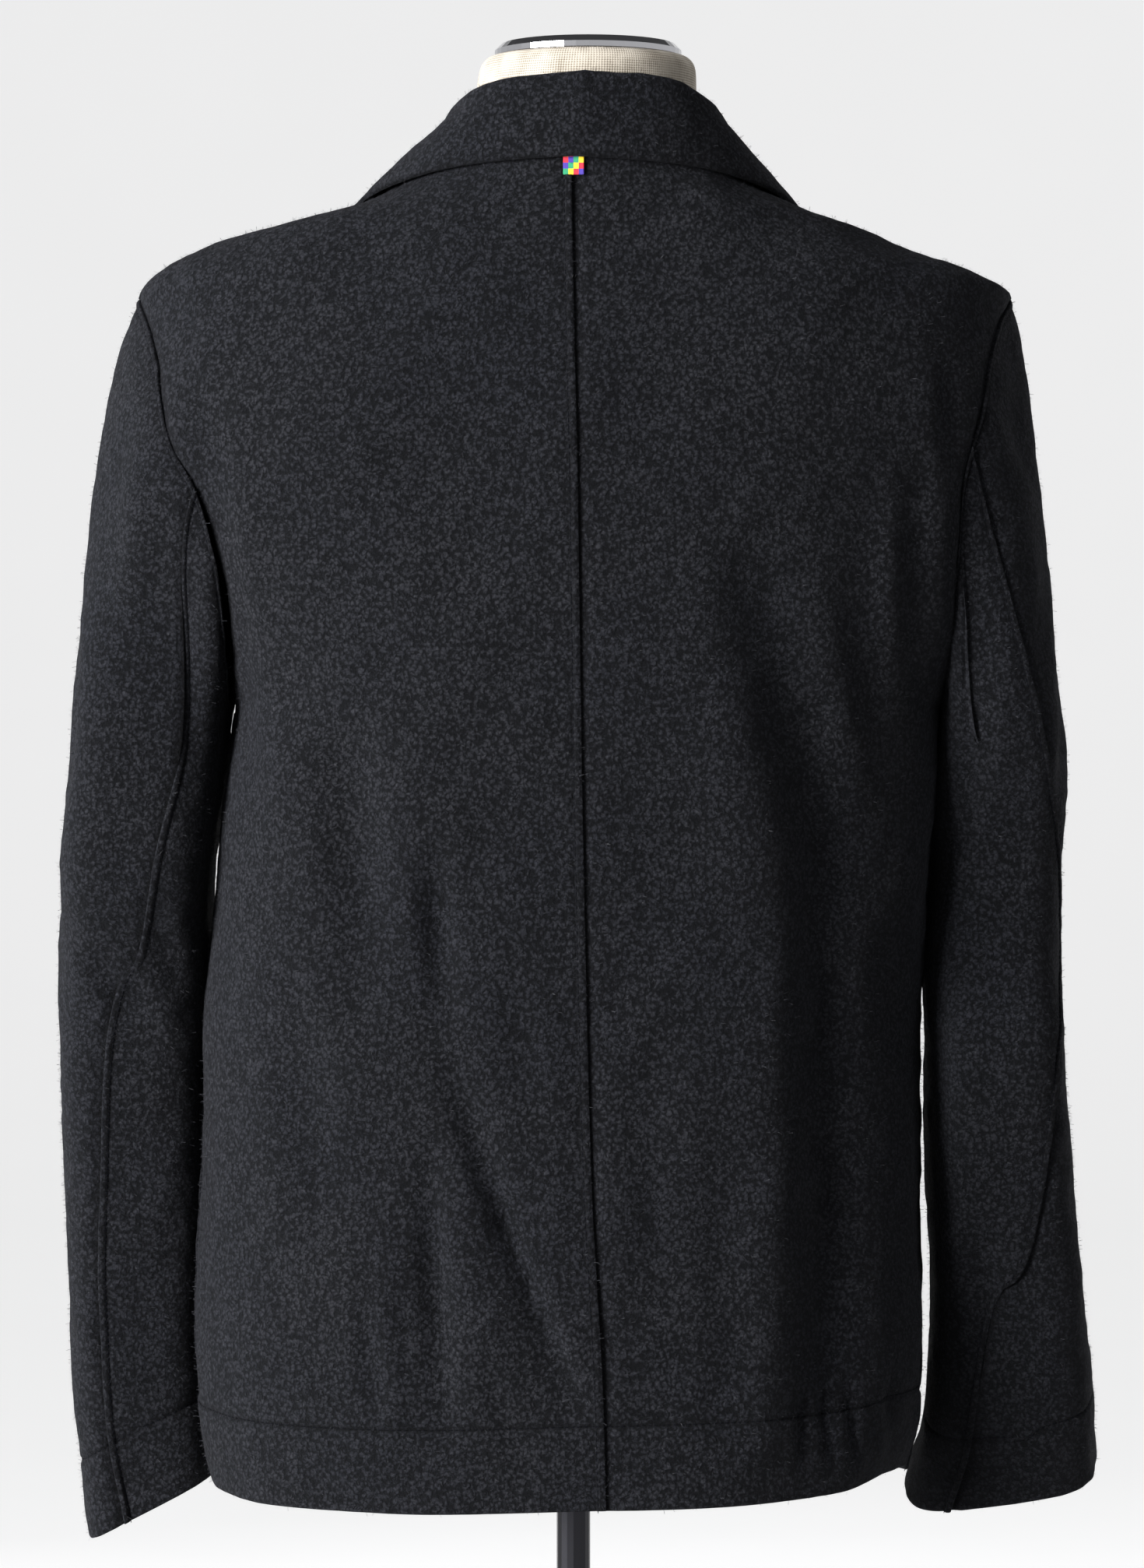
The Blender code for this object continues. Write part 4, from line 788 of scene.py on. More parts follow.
def sleeve_grid(side, cells):
    """Outer points of the part of a sleeve between the given cells, from armhole to cuff."""
    table = SLEEVES[side]
    biceps, cuff = table[0].z, table[-1].z
    loop = armhole_points(side, cells)
    start = sleeve_section(side, biceps, cells)
    end_pull = unit(sleeve_section(side, biceps - 0.01, cells) - start)
    turn = cells / 20 * 2 * math.pi
    low = (((1 - np.cos(turn)) / 2) ** 1.5)[:, None]
    outward = np.array([side, 0.0, 0.0])
    downward = np.array([0.0, 0.0, -1.0])
    tip = TIP_OUTWARD[side]
    start_pull = unit(outward * (tip + (UNDERARM_OUTWARD - tip) * low) + downward)
    reach = np.linalg.norm(start - loop, axis=-1, keepdims=True)
    rows = []
    near = np.array(EDGE_STEPS) / HEAD_DROP
    shares = np.unique(np.concatenate([near, np.linspace(0.0, 1.0, HEAD_FINE + 1) ** HEAD_SPACING]))
    for t in shares:
        bend = (2 * t ** 3 - 3 * t ** 2 + 1) * loop + (3 * t ** 2 - 2 * t ** 3) * start
        pull = (t ** 3 - 2 * t ** 2 + t) * start_pull + (t ** 3 - t ** 2) * end_pull
        rows.append(bend + HEAD_FULLNESS * reach * pull)
    heights = np.linspace(biceps, cuff, ARM_FINE + 1)[1:]
    near_cuff = cuff + np.array(EDGE_STEPS[:5])
    near_stitches = cuff + HEM_DEPTH + np.linspace(-CUFF_ROWS_REACH, CUFF_ROWS_REACH, CUFF_ROWS)
    for z in np.unique(np.concatenate([heights, near_cuff, near_stitches]))[::-1]:
        rows.append(sleeve_section(side, z, cells))
    return np.array(rows)


def make_sleeves():
    """Each sleeve in two pieces. The under piece laps over the top one along the seam behind."""
    made = []
    for side in (LEFT, RIGHT):
        hind, fore = HIND_CELL[side], FORE_CELL
        for word, low, high in (("under", hind, fore), ("top", fore - 20, hind)):
            piece = f"sleeve_{word}_{WORDS[side]}"
            span = (high - low) * SLEEVE_CELL
            cells = low + (high - low) * crowded(SLEEVE_COLUMNS, span)
            outer = sleeve_grid(side, cells)
            middle = outer.mean(axis=1, keepdims=True)
            centre = np.broadcast_to(middle, outer.shape).copy()
            centre[..., 0] = side * SLEEVE_MIDDLE_X
            centre[..., 1] = SLEEVE_MIDDLE_Y
            out = normals_of(outer, centre)
            first, last = edge_distances(outer, 1)
            from_arm, from_cuff = edge_distances(outer, 0)
            at_hind, at_fore = (first, last) if word == "under" else (last, first)
            above_pit = eased(np.abs(np.mod(cells, 20.0) - 10.0) / (10 * UNDERARM_CALM))
            laps = lap_over(from_arm, ARM_LAP) * above_pit + turned_up(from_cuff, CUFF_PROUD)
            seam = lap_over if word == "under" else lap_under
            vent = eased(1 - from_cuff / VENT_LENGTH)
            laps = laps + seam(at_hind, ARM_LAP) * (1 + VENT_GAPE * vent)
            laps = laps + lap_under(at_fore, ARM_LAP)
            inner = outer - CLOTH * out
            surface = dressed(outer, out, piece, laps)
            sew(surface, out, from_arm, ARM_LAP.stitch_in, 0)
            sew(surface[::-1], out[::-1], from_cuff[::-1], HEM_DEPTH, 0)
            # Painted shade at the cuff's and the armhole's stitches
            dark = (SHADE_AT_CUFF * shaded(from_cuff, HEM_DEPTH)
                    + SHADE_AT_STITCHES * shaded(from_arm, ARM_LAP.stitch_in))
            if word == "under":
                sew(surface, out, at_hind, ARM_LAP.stitch_in, 1)
                # Painted shade along the stitches of the seam behind
                dark = dark + SHADE_AT_STITCHES * shaded(at_hind, ARM_LAP.stitch_in)
            else:
                # Painted shadow under the under piece's lapped edge, wider in the vent's gap by the
                # cuff
                dark = dark + shaded(at_hind, 0.0, 0.0024 + 0.0020 * vent)
            made.append(wall_mesh(f"coat_{piece}", surface, dressed(inner, out, piece, laps),
                                  "boiled_wool", dark))
    return made


def collar_sections():
    """Sections of the collar, each from the neckline over its fold to the edge of the fall."""
    quarter = np.linspace(0.0, 1.0, COLLAR_FINE_COLUMNS // 4 + 1)
    runs = ((LEFT, FRONT, quarter[:-1]), (LEFT, BACK, quarter[::-1]),
            (RIGHT, BACK, quarter[1:-1]), (RIGHT, FRONT, quarter[::-1]))
    sections = []
    for side, face, us in runs:
        neck = trunk_grid(side, face, us, [2.96, 3.0])
        inside = np.zeros_like(neck)
        inside[..., 2] = neck[..., 2] - PROBE
        neck_inner = (neck - CLOTH * normals_of(neck, inside))[-1]
        for u, base in zip(us, neck_inner):
            sections.append(collar_section(side, face, u, base))
    return np.array(sections)


def collar_section(side, face, place, base):
    """One section of the collar: up from the neckline, over the roll and down the fall."""
    angle = face * (90 - 90 * place)
    crest = np.array([float(smooth_between(CRESTS, "angle", name, angle)) for name in "xyz"])
    crest[0] = side * crest[0] + CREST_SHIFT * min(1.0, (angle + 90) / 90)
    bulge = float(smooth_between(CRESTS, "angle", "bulge", angle))
    turn = math.radians(angle)
    out = unit(np.array([side * math.cos(turn), math.sin(turn), 0.0]))
    up = np.array([0.0, 0.0, 1.0])
    centre = crest - ROLL_RADIUS * up
    start, finish = centre - ROLL_RADIUS * out, centre + ROLL_RADIUS * out
    u = float(smooth_between(FALL_EDGE, "angle", "u", angle))
    v = float(smooth_between(FALL_EDGE, "angle", "v", angle))
    tip = resting_point(side, face, u, v)
    points = [base + (start - base) * t for t in np.linspace(0.0, 1.0, 9)[:-1]]
    for roll in np.radians(np.linspace(0, 180, 9)):
        points.append(centre + ROLL_RADIUS * (-math.cos(roll) * out + math.sin(roll) * up))
    middle = finish + 0.5 * (tip - finish) + bulge * unit(out + 0.6 * up)
    length = np.linalg.norm(tip - finish)
    near_tip = 1 - np.array(EDGE_STEPS[:7]) / length
    for t in np.unique(np.concatenate([np.linspace(0.0, 1.0, 18)[1:], near_tip])):
        points.append((1 - t) ** 2 * finish + 2 * t * (1 - t) * middle + t * t * tip)
    return np.array(points)


def make_collar():
    """The collar in one piece, from its left end round the back of the neck to its right end."""
    visible = collar_sections()
    across = np.gradient(visible, axis=0)
    along = np.gradient(visible, axis=1)
    inward = unit(np.cross(along, across))
    outward = visible[:, 1] * np.array([1.0, 1.0, 0.0])
    if np.sum(inward[:, 1] * outward) < 0:
        inward = -inward
    from_neck, from_edge = edge_distances(visible, 1)
    first, last = edge_distances(visible, 0)
    nearest = np.minimum(from_edge, np.minimum(first, last))
    rounding = np.clip(1 - nearest / FRONT_ROUND_OVER, 0, 1) ** 2
    move = -EDGE_ROUND * rounding
    for swell in SWELLS:
        move = move + swell.high * 0.6 * uneven(visible, swell) * eased(from_neck / 0.03)
    outer = visible - move[..., None] * inward
    inner = visible + CLOTH * inward
    # Painted shade along the edge of the fall, where it turns down onto the trunk
    dark = SHADE_AT_COLLAR * shaded(from_edge, 0.0, 0.002)
    return wall_mesh("coat_collar", outer, inner, "boiled_wool", dark)


def instanced(name, tree, source, finish, sizes):
    """A plain mesh made by running the tree on a source object, with its modifier applied."""
    settings = {**sizes, "Material": finish}
    grow = source.modifiers.new(name, "NODES")
    grow.node_group = tree
    for item in tree.interface.items_tree:
        if item.item_type == "SOCKET" and item.in_out == "INPUT" and item.name in settings:
            grow[item.identifier] = settings[item.name]
    bpy.context.view_layer.update()
    graph = bpy.context.evaluated_depsgraph_get()
    mesh = bpy.data.meshes.new_from_object(source.evaluated_get(graph))
    source.modifiers.remove(grow)
    mesh.name = name
    return linked(mesh, finish)


def new_tree(name, *numbers):
    """An empty Geometry Nodes tree with its named inputs, and its two end nodes."""
    tree = bpy.data.node_groups.new(name, "GeometryNodeTree")
    tree.interface.new_socket("Geometry", in_out="INPUT", socket_type="NodeSocketGeometry")
    for number in numbers:
        tree.interface.new_socket(number, in_out="INPUT", socket_type="NodeSocketFloat")
    tree.interface.new_socket("Material", in_out="INPUT", socket_type="NodeSocketMaterial")
    tree.interface.new_socket("Geometry", in_out="OUTPUT", socket_type="NodeSocketGeometry")
    return tree, add(tree, "NodeGroupInput", "from"), add(tree, "NodeGroupOutput", "to")


def finish_tree(tree, start, end, instances):
    """Ends the tree: the instances become real faces with the finish."""
    real = add(tree, "GeometryNodeRealizeInstances", "real faces")
    finish = add(tree, "GeometryNodeSetMaterial", "finish")
    tree.links.new(instances, real.inputs["Geometry"])
    tree.links.new(real.outputs["Geometry"], finish.inputs["Geometry"])
    tree.links.new(start.outputs["Material"], finish.inputs["Material"])
    tree.links.new(finish.outputs["Geometry"], end.inputs["Geometry"])


def stitch_tree():
    """Stitches lie end to end along each line, every one a thread pulled in at both ends."""
    tree, start, end = new_tree("stitches in rows", "Pitch", "Length", "Radius")
    link = tree.links.new
    curve = add(tree, "GeometryNodeMeshToCurve", "seam lines")
    spaced = add(tree, "GeometryNodeResampleCurve", "one point for each stitch", mode="LENGTH")
    link(start.outputs["Geometry"], curve.inputs["Mesh"])
    link(curve.outputs["Curve"], spaced.inputs["Curve"])
    link(start.outputs["Pitch"], spaced.inputs["Length"])
    thread = add(tree, "GeometryNodeMeshUVSphere", "thread", Segments=6, Rings=4)
    half = add(tree, "ShaderNodeMath", "half the length", operation="MULTIPLY")
    half.inputs[1].default_value = 0.5
    link(start.outputs["Length"], half.inputs[0])
    size = add(tree, "ShaderNodeCombineXYZ", "long and thin")
    link(half.outputs[0], size.inputs["X"])
    link(start.outputs["Radius"], size.inputs["Y"])
    link(start.outputs["Radius"], size.inputs["Z"])
    shaped = add(tree, "GeometryNodeTransform", "stitch")
    link(thread.outputs["Mesh"], shaped.inputs["Geometry"])
    link(size.outputs["Vector"], shaped.inputs["Scale"])
    tangent = add(tree, "GeometryNodeInputTangent", "way of the seam")
    turn = add(tree, "FunctionNodeAlignEulerToVector", "along the seam", axis="X")
    link(tangent.outputs["Tangent"], turn.inputs["Vector"])
    placed = add(tree, "GeometryNodeInstanceOnPoints", "stitches")
    link(spaced.outputs["Curve"], placed.inputs["Points"])
    link(shaped.outputs["Geometry"], placed.inputs["Instance"])
    link(turn.outputs["Rotation"], placed.inputs["Rotation"])
    finish_tree(tree, start, end, placed.outputs["Instances"])
    return tree


def make_stitches():
    """All the rows of stitches that show on the coat."""
    points, edges = [], []
    for row in STITCH_ROWS:
        first = len(points)
        points.extend(row.tolist())
        edges.extend((i, i + 1) for i in range(first, len(points) - 1))
    mesh = bpy.data.meshes.new("seam lines")
    mesh.from_pydata(points, edges, [])
    lines = bpy.data.objects.new("seam lines", mesh)
    bpy.context.scene.collection.objects.link(lines)
    sizes = {"Pitch": STITCH_PITCH, "Length": STITCH_LENGTH, "Radius": STITCH_RADIUS}
    made = instanced("coat_stitches", stitch_tree(), lines, FINISHES["thread"], sizes)
    bpy.data.objects.remove(lines)
    made.data.shade_smooth()
    return made


def make_button_threads():
    """Four holes in each button with crossed thread in them, and the slit that it goes through."""
    levels = np.linspace(0.2, 2.0, 181)
    middle = trunk_grid(LEFT, FRONT, [0.0, 0.02], levels)[:, 0]
    face = 0.75 * BUTTON_THICK
    bm = bmesh.new()
    for height in BUTTON_HEIGHTS:
        y, above, below = (np.interp(height + step, middle[:, 2], middle[:, 1])
                           for step in (0.0, LEAN_STEP, -LEAN_STEP))
        lean = math.atan2(above - below, 2 * LEAN_STEP)
        place = (Matrix.Translation((0.0, y - SEAM_GAP, height))
                 @ Matrix.Rotation(math.pi / 2 - lean, 4, "X"))
        for across in (-HOLE_APART, HOLE_APART):
            for up in (-HOLE_APART, HOLE_APART):
                hole = Matrix.Translation((across, up, face))
                bmesh.ops.create_cone(bm, cap_ends=True, segments=12, radius1=HOLE_RADIUS,
                                      radius2=HOLE_RADIUS, depth=HOLE_MARK, matrix=place @ hole)
        for turn in (45, 135):
            cross = (Matrix.Translation((0.0, 0.0, face + CROSS_LIFT))
                     @ Matrix.Rotation(math.radians(turn), 4, "Z")
                     @ Matrix.Diagonal((CROSS_HALF, CROSS_THICK, CROSS_THICK, 1.0)))
            bmesh.ops.create_uvsphere(bm, u_segments=10, v_segments=6, radius=1.0,
                                      matrix=place @ cross)
        half_slit = (BUTTONHOLE_TO - BUTTONHOLE_FROM) / 2
        slit = (Matrix.Translation(((BUTTONHOLE_FROM + BUTTONHOLE_TO) / 2, 0.0, 0.0))
                @ Matrix.Diagonal((half_slit, SLIT_HALF, SLIT_THICK, 1.0)))
        bmesh.ops.create_uvsphere(bm, u_segments=12, v_segments=6, radius=1.0, matrix=place @ slit)
    mesh = bpy.data.meshes.new("button_threads")
    bm.to_mesh(mesh)
    bm.free()
    mesh.shade_smooth()
    return linked(mesh, FINISHES["thread"])


def nap_tree():
    """Short fibres stand off the right side of the cloth, all ways, most of them lying low."""
    tree, start, end = new_tree("nap", "Density", "Length", "Width", "Tilt")
    link = tree.links.new
    side = add(tree, "GeometryNodeInputNamedAttribute", "right side", data_type="BOOLEAN")
    side.inputs["Name"].default_value = "right_side"
    spread = add(tree, "GeometryNodeDistributePointsOnFaces", "roots", Seed=7)
    link(start.outputs["Geometry"], spread.inputs["Mesh"])
    link(side.outputs["Attribute"], spread.inputs["Selection"])
    link(start.outputs["Density"], spread.inputs["Density"])
    strip = add(tree, "GeometryNodeMeshGrid", "fibre", Vertices_X=2, Vertices_Y=2)
    link(start.outputs["Width"], strip.inputs["Size X"])
    link(start.outputs["Length"], strip.inputs["Size Y"])
    half = add(tree, "ShaderNodeMath", "half a fibre", operation="MULTIPLY")
    half.inputs[1].default_value = 0.5
    link(start.outputs["Length"], half.inputs[0])
    up = add(tree, "ShaderNodeCombineXYZ", "root at the origin")
    link(half.outputs[0], up.inputs["Z"])
    stand = add(tree, "GeometryNodeTransform", "stands up")
    stand.inputs["Rotation"].default_value = (math.pi / 2, 0.0, 0.0)
    link(strip.outputs["Mesh"], stand.inputs["Geometry"])
    link(up.outputs["Vector"], stand.inputs["Translation"])
    placed = add(tree, "GeometryNodeInstanceOnPoints", "fibres")
    link(spread.outputs["Points"], placed.inputs["Points"])
    link(stand.outputs["Geometry"], placed.inputs["Instance"])
    link(spread.outputs["Rotation"], placed.inputs["Rotation"])
    spin = add(tree, "FunctionNodeRandomValue", "which way", data_type="FLOAT", Seed=3)
    spin.inputs["Min"].default_value, spin.inputs["Max"].default_value = -math.pi, math.pi
    tilt = add(tree, "FunctionNodeRandomValue", "how low", data_type="FLOAT", Seed=4)
    tilt.inputs["Min"].default_value = 0.45
    link(start.outputs["Tilt"], tilt.inputs["Max"])
    turned = add(tree, "GeometryNodeRotateInstances", "spun")
    leant = add(tree, "GeometryNodeRotateInstances", "leant over")
    for node, number, axis in ((turned, spin, "Z"), (leant, tilt, "X")):
        way = add(tree, "ShaderNodeCombineXYZ", "turn")
        link(number.outputs["Value"], way.inputs[axis])
        link(way.outputs["Vector"], node.inputs["Rotation"])
    link(placed.outputs["Instances"], turned.inputs["Instances"])
    link(turned.outputs["Instances"], leant.inputs["Instances"])
    sizes = add(tree, "FunctionNodeRandomValue", "long and short", data_type="FLOAT", Seed=5)
    sizes.inputs["Min"].default_value, sizes.inputs["Max"].default_value = 0.4, 1.25
    grown = add(tree, "GeometryNodeScaleInstances", "grown")
    link(leant.outputs["Instances"], grown.inputs["Instances"])
    link(sizes.outputs["Value"], grown.inputs["Scale"])
    finish_tree(tree, start, end, grown.outputs["Instances"])
    return tree


def make_nap(cloth):
    """The nap of every piece of cloth, joined to one plain mesh a piece."""
    tree = nap_tree()
    sizes = {"Density": NAP_DENSITY, "Length": NAP_LENGTH, "Width": NAP_WIDTH, "Tilt": NAP_TILT}
    made = []
    for piece in cloth:
        name = piece.name.replace("coat_", "nap_")
        made.append(instanced(name, tree, piece, FINISHES["fibre"], sizes))
    return made


def mark_round(mesh):
    """Notes the way round the form, at the neck's size, for the linen's threads."""
    around = mesh.attributes.new("round_the_form", "FLOAT", "CORNER")
    for face in mesh.polygons:
        columns = [mesh.loops[loop].vertex_index % FORM_SIDES for loop in face.loop_indices]
        wraps = 0 in columns and FORM_SIDES - 1 in columns
        for loop, column in zip(face.loop_indices, columns):
            column = FORM_SIDES if wraps and column == 0 else column
            around.data[loop].value = NECK_ROUND * column / FORM_SIDES


def make_torso():
    """The linen-covered torso and neck of the form."""
    turns = np.arange(FORM_SIDES) / FORM_SIDES * 2 * math.pi
    cos, sin = np.cos(turns), np.sin(turns)
    rings = []
    for row in FORM:
        power = 1.0 if row.x < LIP_BELOW else 2 / FORM_ROUNDNESS
        x = row.x * np.sign(cos) * np.abs(cos) ** power
        depth = np.where(sin >= 0, row.y_back, row.y_front)
        y = depth * np.sign(sin) * np.abs(sin) ** power
        z_end = np.where(sin >= 0, row.z_back, row.z_front)
        quarter = np.arcsin(np.clip(np.abs(cos), 0, 1))
        z = z_end + (row.z_side - z_end) * (1 - np.cos(quarter))
        lean = np.clip((row.z_side - NECK_FROM) / (NECK_TOP - NECK_FROM), 0, 1)
        rings.append(np.stack([x + NECK_SHIFT * lean, y, z], axis=-1))
    bm = bmesh.new()
    loops = [[bm.verts.new(point) for point in ring] for ring in rings]
    for low, high in zip(loops, loops[1:]):
        for c in range(FORM_SIDES):
            ahead = (c + 1) % FORM_SIDES
            bm.faces.new([low[c], low[ahead], high[ahead], high[c]])
    bm.faces.new(loops[0][::-1])
    bm.faces.new(loops[-1])
    bmesh.ops.recalc_face_normals(bm, faces=bm.faces)
    mesh = bpy.data.meshes.new("torso_linen")
    bm.to_mesh(mesh)
    bm.free()
    mark_round(mesh)
    mesh.shade_smooth()
    torso = linked(mesh, FINISHES["linen"])
    finer = torso.modifiers.new("finer", "SUBSURF")
    finer.levels = finer.render_levels = 2
    return torso


def add(tree, kind, name, **settings):
    """A node of that kind. Settings that name an input set its value."""
    node = tree.nodes.new(kind)
    node.label = name
    for key, value in settings.items():
        if hasattr(node, key):
            setattr(node, key, value)
        else:
            node.inputs[key.replace("_", " ")].default_value = value
    return node


def new_finish(name, roughness, metallic=0.0, **sockets):
    """A material whose plain numbers sit on its shader's own sockets."""
    material = bpy.data.materials.new(name)
    material.use_nodes = True
    tree = material.node_tree
    shader = tree.nodes["Principled BSDF"]
    shader.inputs["Roughness"].default_value = roughness
    shader.inputs["Metallic"].default_value = metallic
    for key, value in sockets.items():
        shader.inputs[key.replace("_", " ")].default_value = value
    return material, tree, shader


def ramp(tree, name, stops):
    """A colour ramp through the given places and colours."""
    node = add(tree, "ShaderNodeValToRGB", name)
    elements = node.color_ramp.elements
    while len(elements) < len(stops):
        elements.new(0.5)
    for element, (place, colour) in zip(elements, stops):
        element.position = place
        element.color = (*colour, 1.0)
    return node


def raise_by(tree, shader, name, height, strength, distance):
    """Fine relief on the shader from a height."""
    bump = add(tree, "ShaderNodeBump", name, Strength=strength, Distance=distance)
    tree.links.new(height, bump.inputs["Height"])
    tree.links.new(bump.outputs["Normal"], shader.inputs["Normal"])


def break_gloss(tree, shader, marks, low, high):
    """Roughness that varies with the marks between two values."""
    gloss = add(tree, "ShaderNodeMapRange", "gloss", To_Min=low, To_Max=high)
    tree.links.new(marks, gloss.inputs["Value"])
    tree.links.new(gloss.outputs["Result"], shader.inputs["Roughness"])


def wool_finish():
    """Felted loops in near-black navy, with painted shade in their gaps and painted highlight on
    tips.
    """
    material, tree, shader = new_finish(
        "boiled_wool", 0.94, Sheen_Weight=0.025, Sheen_Roughness=0.5, Specular_IOR_Level=0.10)
    shader.inputs["Sheen Tint"].default_value = (0.62, 0.66, 0.78, 1.0)
    link = tree.links.new
    place = add(tree, "ShaderNodeTexCoord", "place")
    curl = add(tree, "ShaderNodeTexNoise", "curl of the loops", Scale=330.0, Detail=3.0)
    sway = add(tree, "ShaderNodeVectorMath", "curled place", operation="MULTIPLY_ADD")
    sway.inputs[1].default_value = (0.0042, 0.0042, 0.0042)
    link(place.outputs["Object"], curl.inputs["Vector"])
    link(curl.outputs["Color"], sway.inputs[0])
    link(place.outputs["Object"], sway.inputs[2])
    loops = add(tree, "ShaderNodeTexVoronoi", "loops", feature="F1", Scale=430.0)
    link(sway.outputs["Vector"], loops.inputs["Vector"])
    fibre = add(tree, "ShaderNodeTexNoise", "fibres", Scale=1500.0, Detail=2.0, Distortion=1.2)
    link(sway.outputs["Vector"], fibre.inputs["Vector"])
    felt = add(tree, "ShaderNodeTexNoise", "felted patches", Scale=120.0, Detail=4.0, Roughness=0.6)
    link(place.outputs["Object"], felt.inputs["Vector"])
    drift = add(tree, "ShaderNodeTexNoise", "slow drift of the dye", Scale=14.0, Detail=2.0)
    link(place.outputs["Object"], drift.inputs["Vector"])
    height = add(tree, "ShaderNodeMath", "loops and fibres", operation="MULTIPLY_ADD")
    height.inputs[1].default_value = -0.9
    link(loops.outputs["Distance"], height.inputs[0])
    link(fibre.outputs["Fac"], height.inputs[2])
    relief = add(tree, "ShaderNodeMath", "with felted patches", operation="MULTIPLY_ADD")
    relief.inputs[1].default_value = 0.35
    link(felt.outputs["Fac"], relief.inputs[0])
    link(height.outputs[0], relief.inputs[2])
    # Colour follows the loops' relief: the wool's own speckle, with painted shade in the low gaps and
    # painted highlight on the high tips
    colour = ramp(tree, "gap to tip", (
        (0.16, (0.0014, 0.0015, 0.0022)), (0.31, (0.0120, 0.0125, 0.0153)),
        (0.52, (0.0215, 0.0220, 0.0262)), (0.76, (0.0350, 0.0350, 0.0395))))
    link(relief.outputs[0], colour.inputs["Fac"])
    tone = ramp(tree, "uneven dye", ((0.30, (0.80, 0.82, 0.88)), (0.70, (1.0, 1.0, 1.0))))
    link(drift.outputs["Fac"], tone.inputs["Fac"])
    dyed = add(tree, "ShaderNodeMix", "dyed wool", data_type="RGBA", blend_type="MULTIPLY")
    dyed.inputs["Factor"].default_value = 1.0
    link(colour.outputs["Color"], dyed.inputs["A"])
    link(tone.outputs["Color"], dyed.inputs["B"])
    # Painted shade along seams, stitches and under lapped edges, read from the attribute that each
    # piece carries
    painted_seam_shade = add(tree, "ShaderNodeAttribute", "painted seam shade", attribute_name="painted_seam_shade")
    darker = ramp(tree, "painted seam shade is darker", (
        (0.0, (1.0, 1.0, 1.0)), (1.0, (0.22, 0.22, 0.24))))
    seamed = add(tree, "ShaderNodeMix", "seams", data_type="RGBA", blend_type="MULTIPLY")
    seamed.inputs["Factor"].default_value = 1.0
    link(painted_seam_shade.outputs["Fac"], darker.inputs["Fac"])
    link(dyed.outputs["Result"], seamed.inputs["A"])
    link(darker.outputs["Color"], seamed.inputs["B"])
    link(seamed.outputs["Result"], shader.inputs["Base Color"])
    raise_by(tree, shader, "nap", relief.outputs[0], 1.0, 0.0016)
    return material


def thread_finish():
    """Twisted sewing thread in dark navy."""
    material, tree, shader = new_finish("thread", 0.9, Specular_IOR_Level=0.03)
    link = tree.links.new
    place = add(tree, "ShaderNodeTexCoord", "place")
    twist = add(tree, "ShaderNodeTexWave", "twist", bands_direction="DIAGONAL", Scale=1400.0)
    colour = ramp(tree, "navy thread", (
        (0.2, (0.0012, 0.0013, 0.0020)), (0.9, (0.0060, 0.0065, 0.0090))))
    link(place.outputs["Object"], twist.inputs["Vector"])
    link(twist.outputs["Fac"], colour.inputs["Fac"])
    link(colour.outputs["Color"], shader.inputs["Base Color"])
    raise_by(tree, shader, "twisted", twist.outputs["Fac"], 0.5, 0.0001)
    return material


def fibre_finish():
    """Loose wool fibres, from near-black to a pale grey tip here and there."""
    material, tree, shader = new_finish("fibre", 0.7, Specular_IOR_Level=0.2)
    link = tree.links.new
    place = add(tree, "ShaderNodeTexCoord", "place")
    shade = add(tree, "ShaderNodeTexNoise", "one fibre to the next", Scale=700.0, Detail=1.0)
    colour = ramp(tree, "fibres", (
        (0.35, (0.004, 0.004, 0.006)), (0.60, (0.020, 0.021, 0.026)), (0.80, (0.085, 0.087, 0.095))))
    link(place.outputs["Object"], shade.inputs["Vector"])
    link(shade.outputs["Fac"], colour.inputs["Fac"])
    link(colour.outputs["Color"], shader.inputs["Base Color"])
    break_gloss(tree, shader, shade.outputs["Fac"], 0.6, 0.85)
    return material


def linen_finish():
    """Plain woven linen with uneven threads."""
    material, tree, shader = new_finish("linen", 0.85, Sheen_Weight=0.1, Specular_IOR_Level=0.25)
    link = tree.links.new
    place = add(tree, "ShaderNodeTexCoord", "place")
    slub = add(tree, "ShaderNodeTexNoise", "slubs", Scale=90.0, Detail=4.0)
    link(place.outputs["Object"], slub.inputs["Vector"])
    around = add(tree, "ShaderNodeAttribute", "way round the form", attribute_name="round_the_form")
    way = add(tree, "ShaderNodeCombineXYZ", "way round and height")
    height = add(tree, "ShaderNodeSeparateXYZ", "height")
    link(place.outputs["Object"], height.inputs["Vector"])
    link(around.outputs["Fac"], way.inputs["X"])
    link(height.outputs["Z"], way.inputs["Z"])
    across = add(tree, "ShaderNodeTexWave", "upright threads", bands_direction="X",
                 Scale=240.0, Distortion=1.2, Detail=1.0)
    along = add(tree, "ShaderNodeTexWave", "level threads", bands_direction="Z",
                Scale=240.0, Distortion=1.2, Detail=1.0)
    weave = add(tree, "ShaderNodeMath", "weave", operation="ADD")
    for threads, socket in ((across, 0), (along, 1)):
        link(way.outputs["Vector"], threads.inputs["Vector"])
        link(threads.outputs["Fac"], weave.inputs[socket])
    mixed = add(tree, "ShaderNodeMath", "weave with slubs", operation="MULTIPLY_ADD")
    mixed.inputs[1].default_value = 0.38
    link(weave.outputs[0], mixed.inputs[0])
    link(slub.outputs["Fac"], mixed.inputs[2])
    colour = ramp(tree, "linen threads", (
        (0.50, (0.15, 0.125, 0.095)), (0.78, (0.30, 0.265, 0.215)), (1.00, (0.46, 0.415, 0.350))))
    link(mixed.outputs[0], colour.inputs["Fac"])
    link(colour.outputs["Color"], shader.inputs["Base Color"])
    raise_by(tree, shader, "threads", mixed.outputs[0], 0.5, 0.0004)
    return material


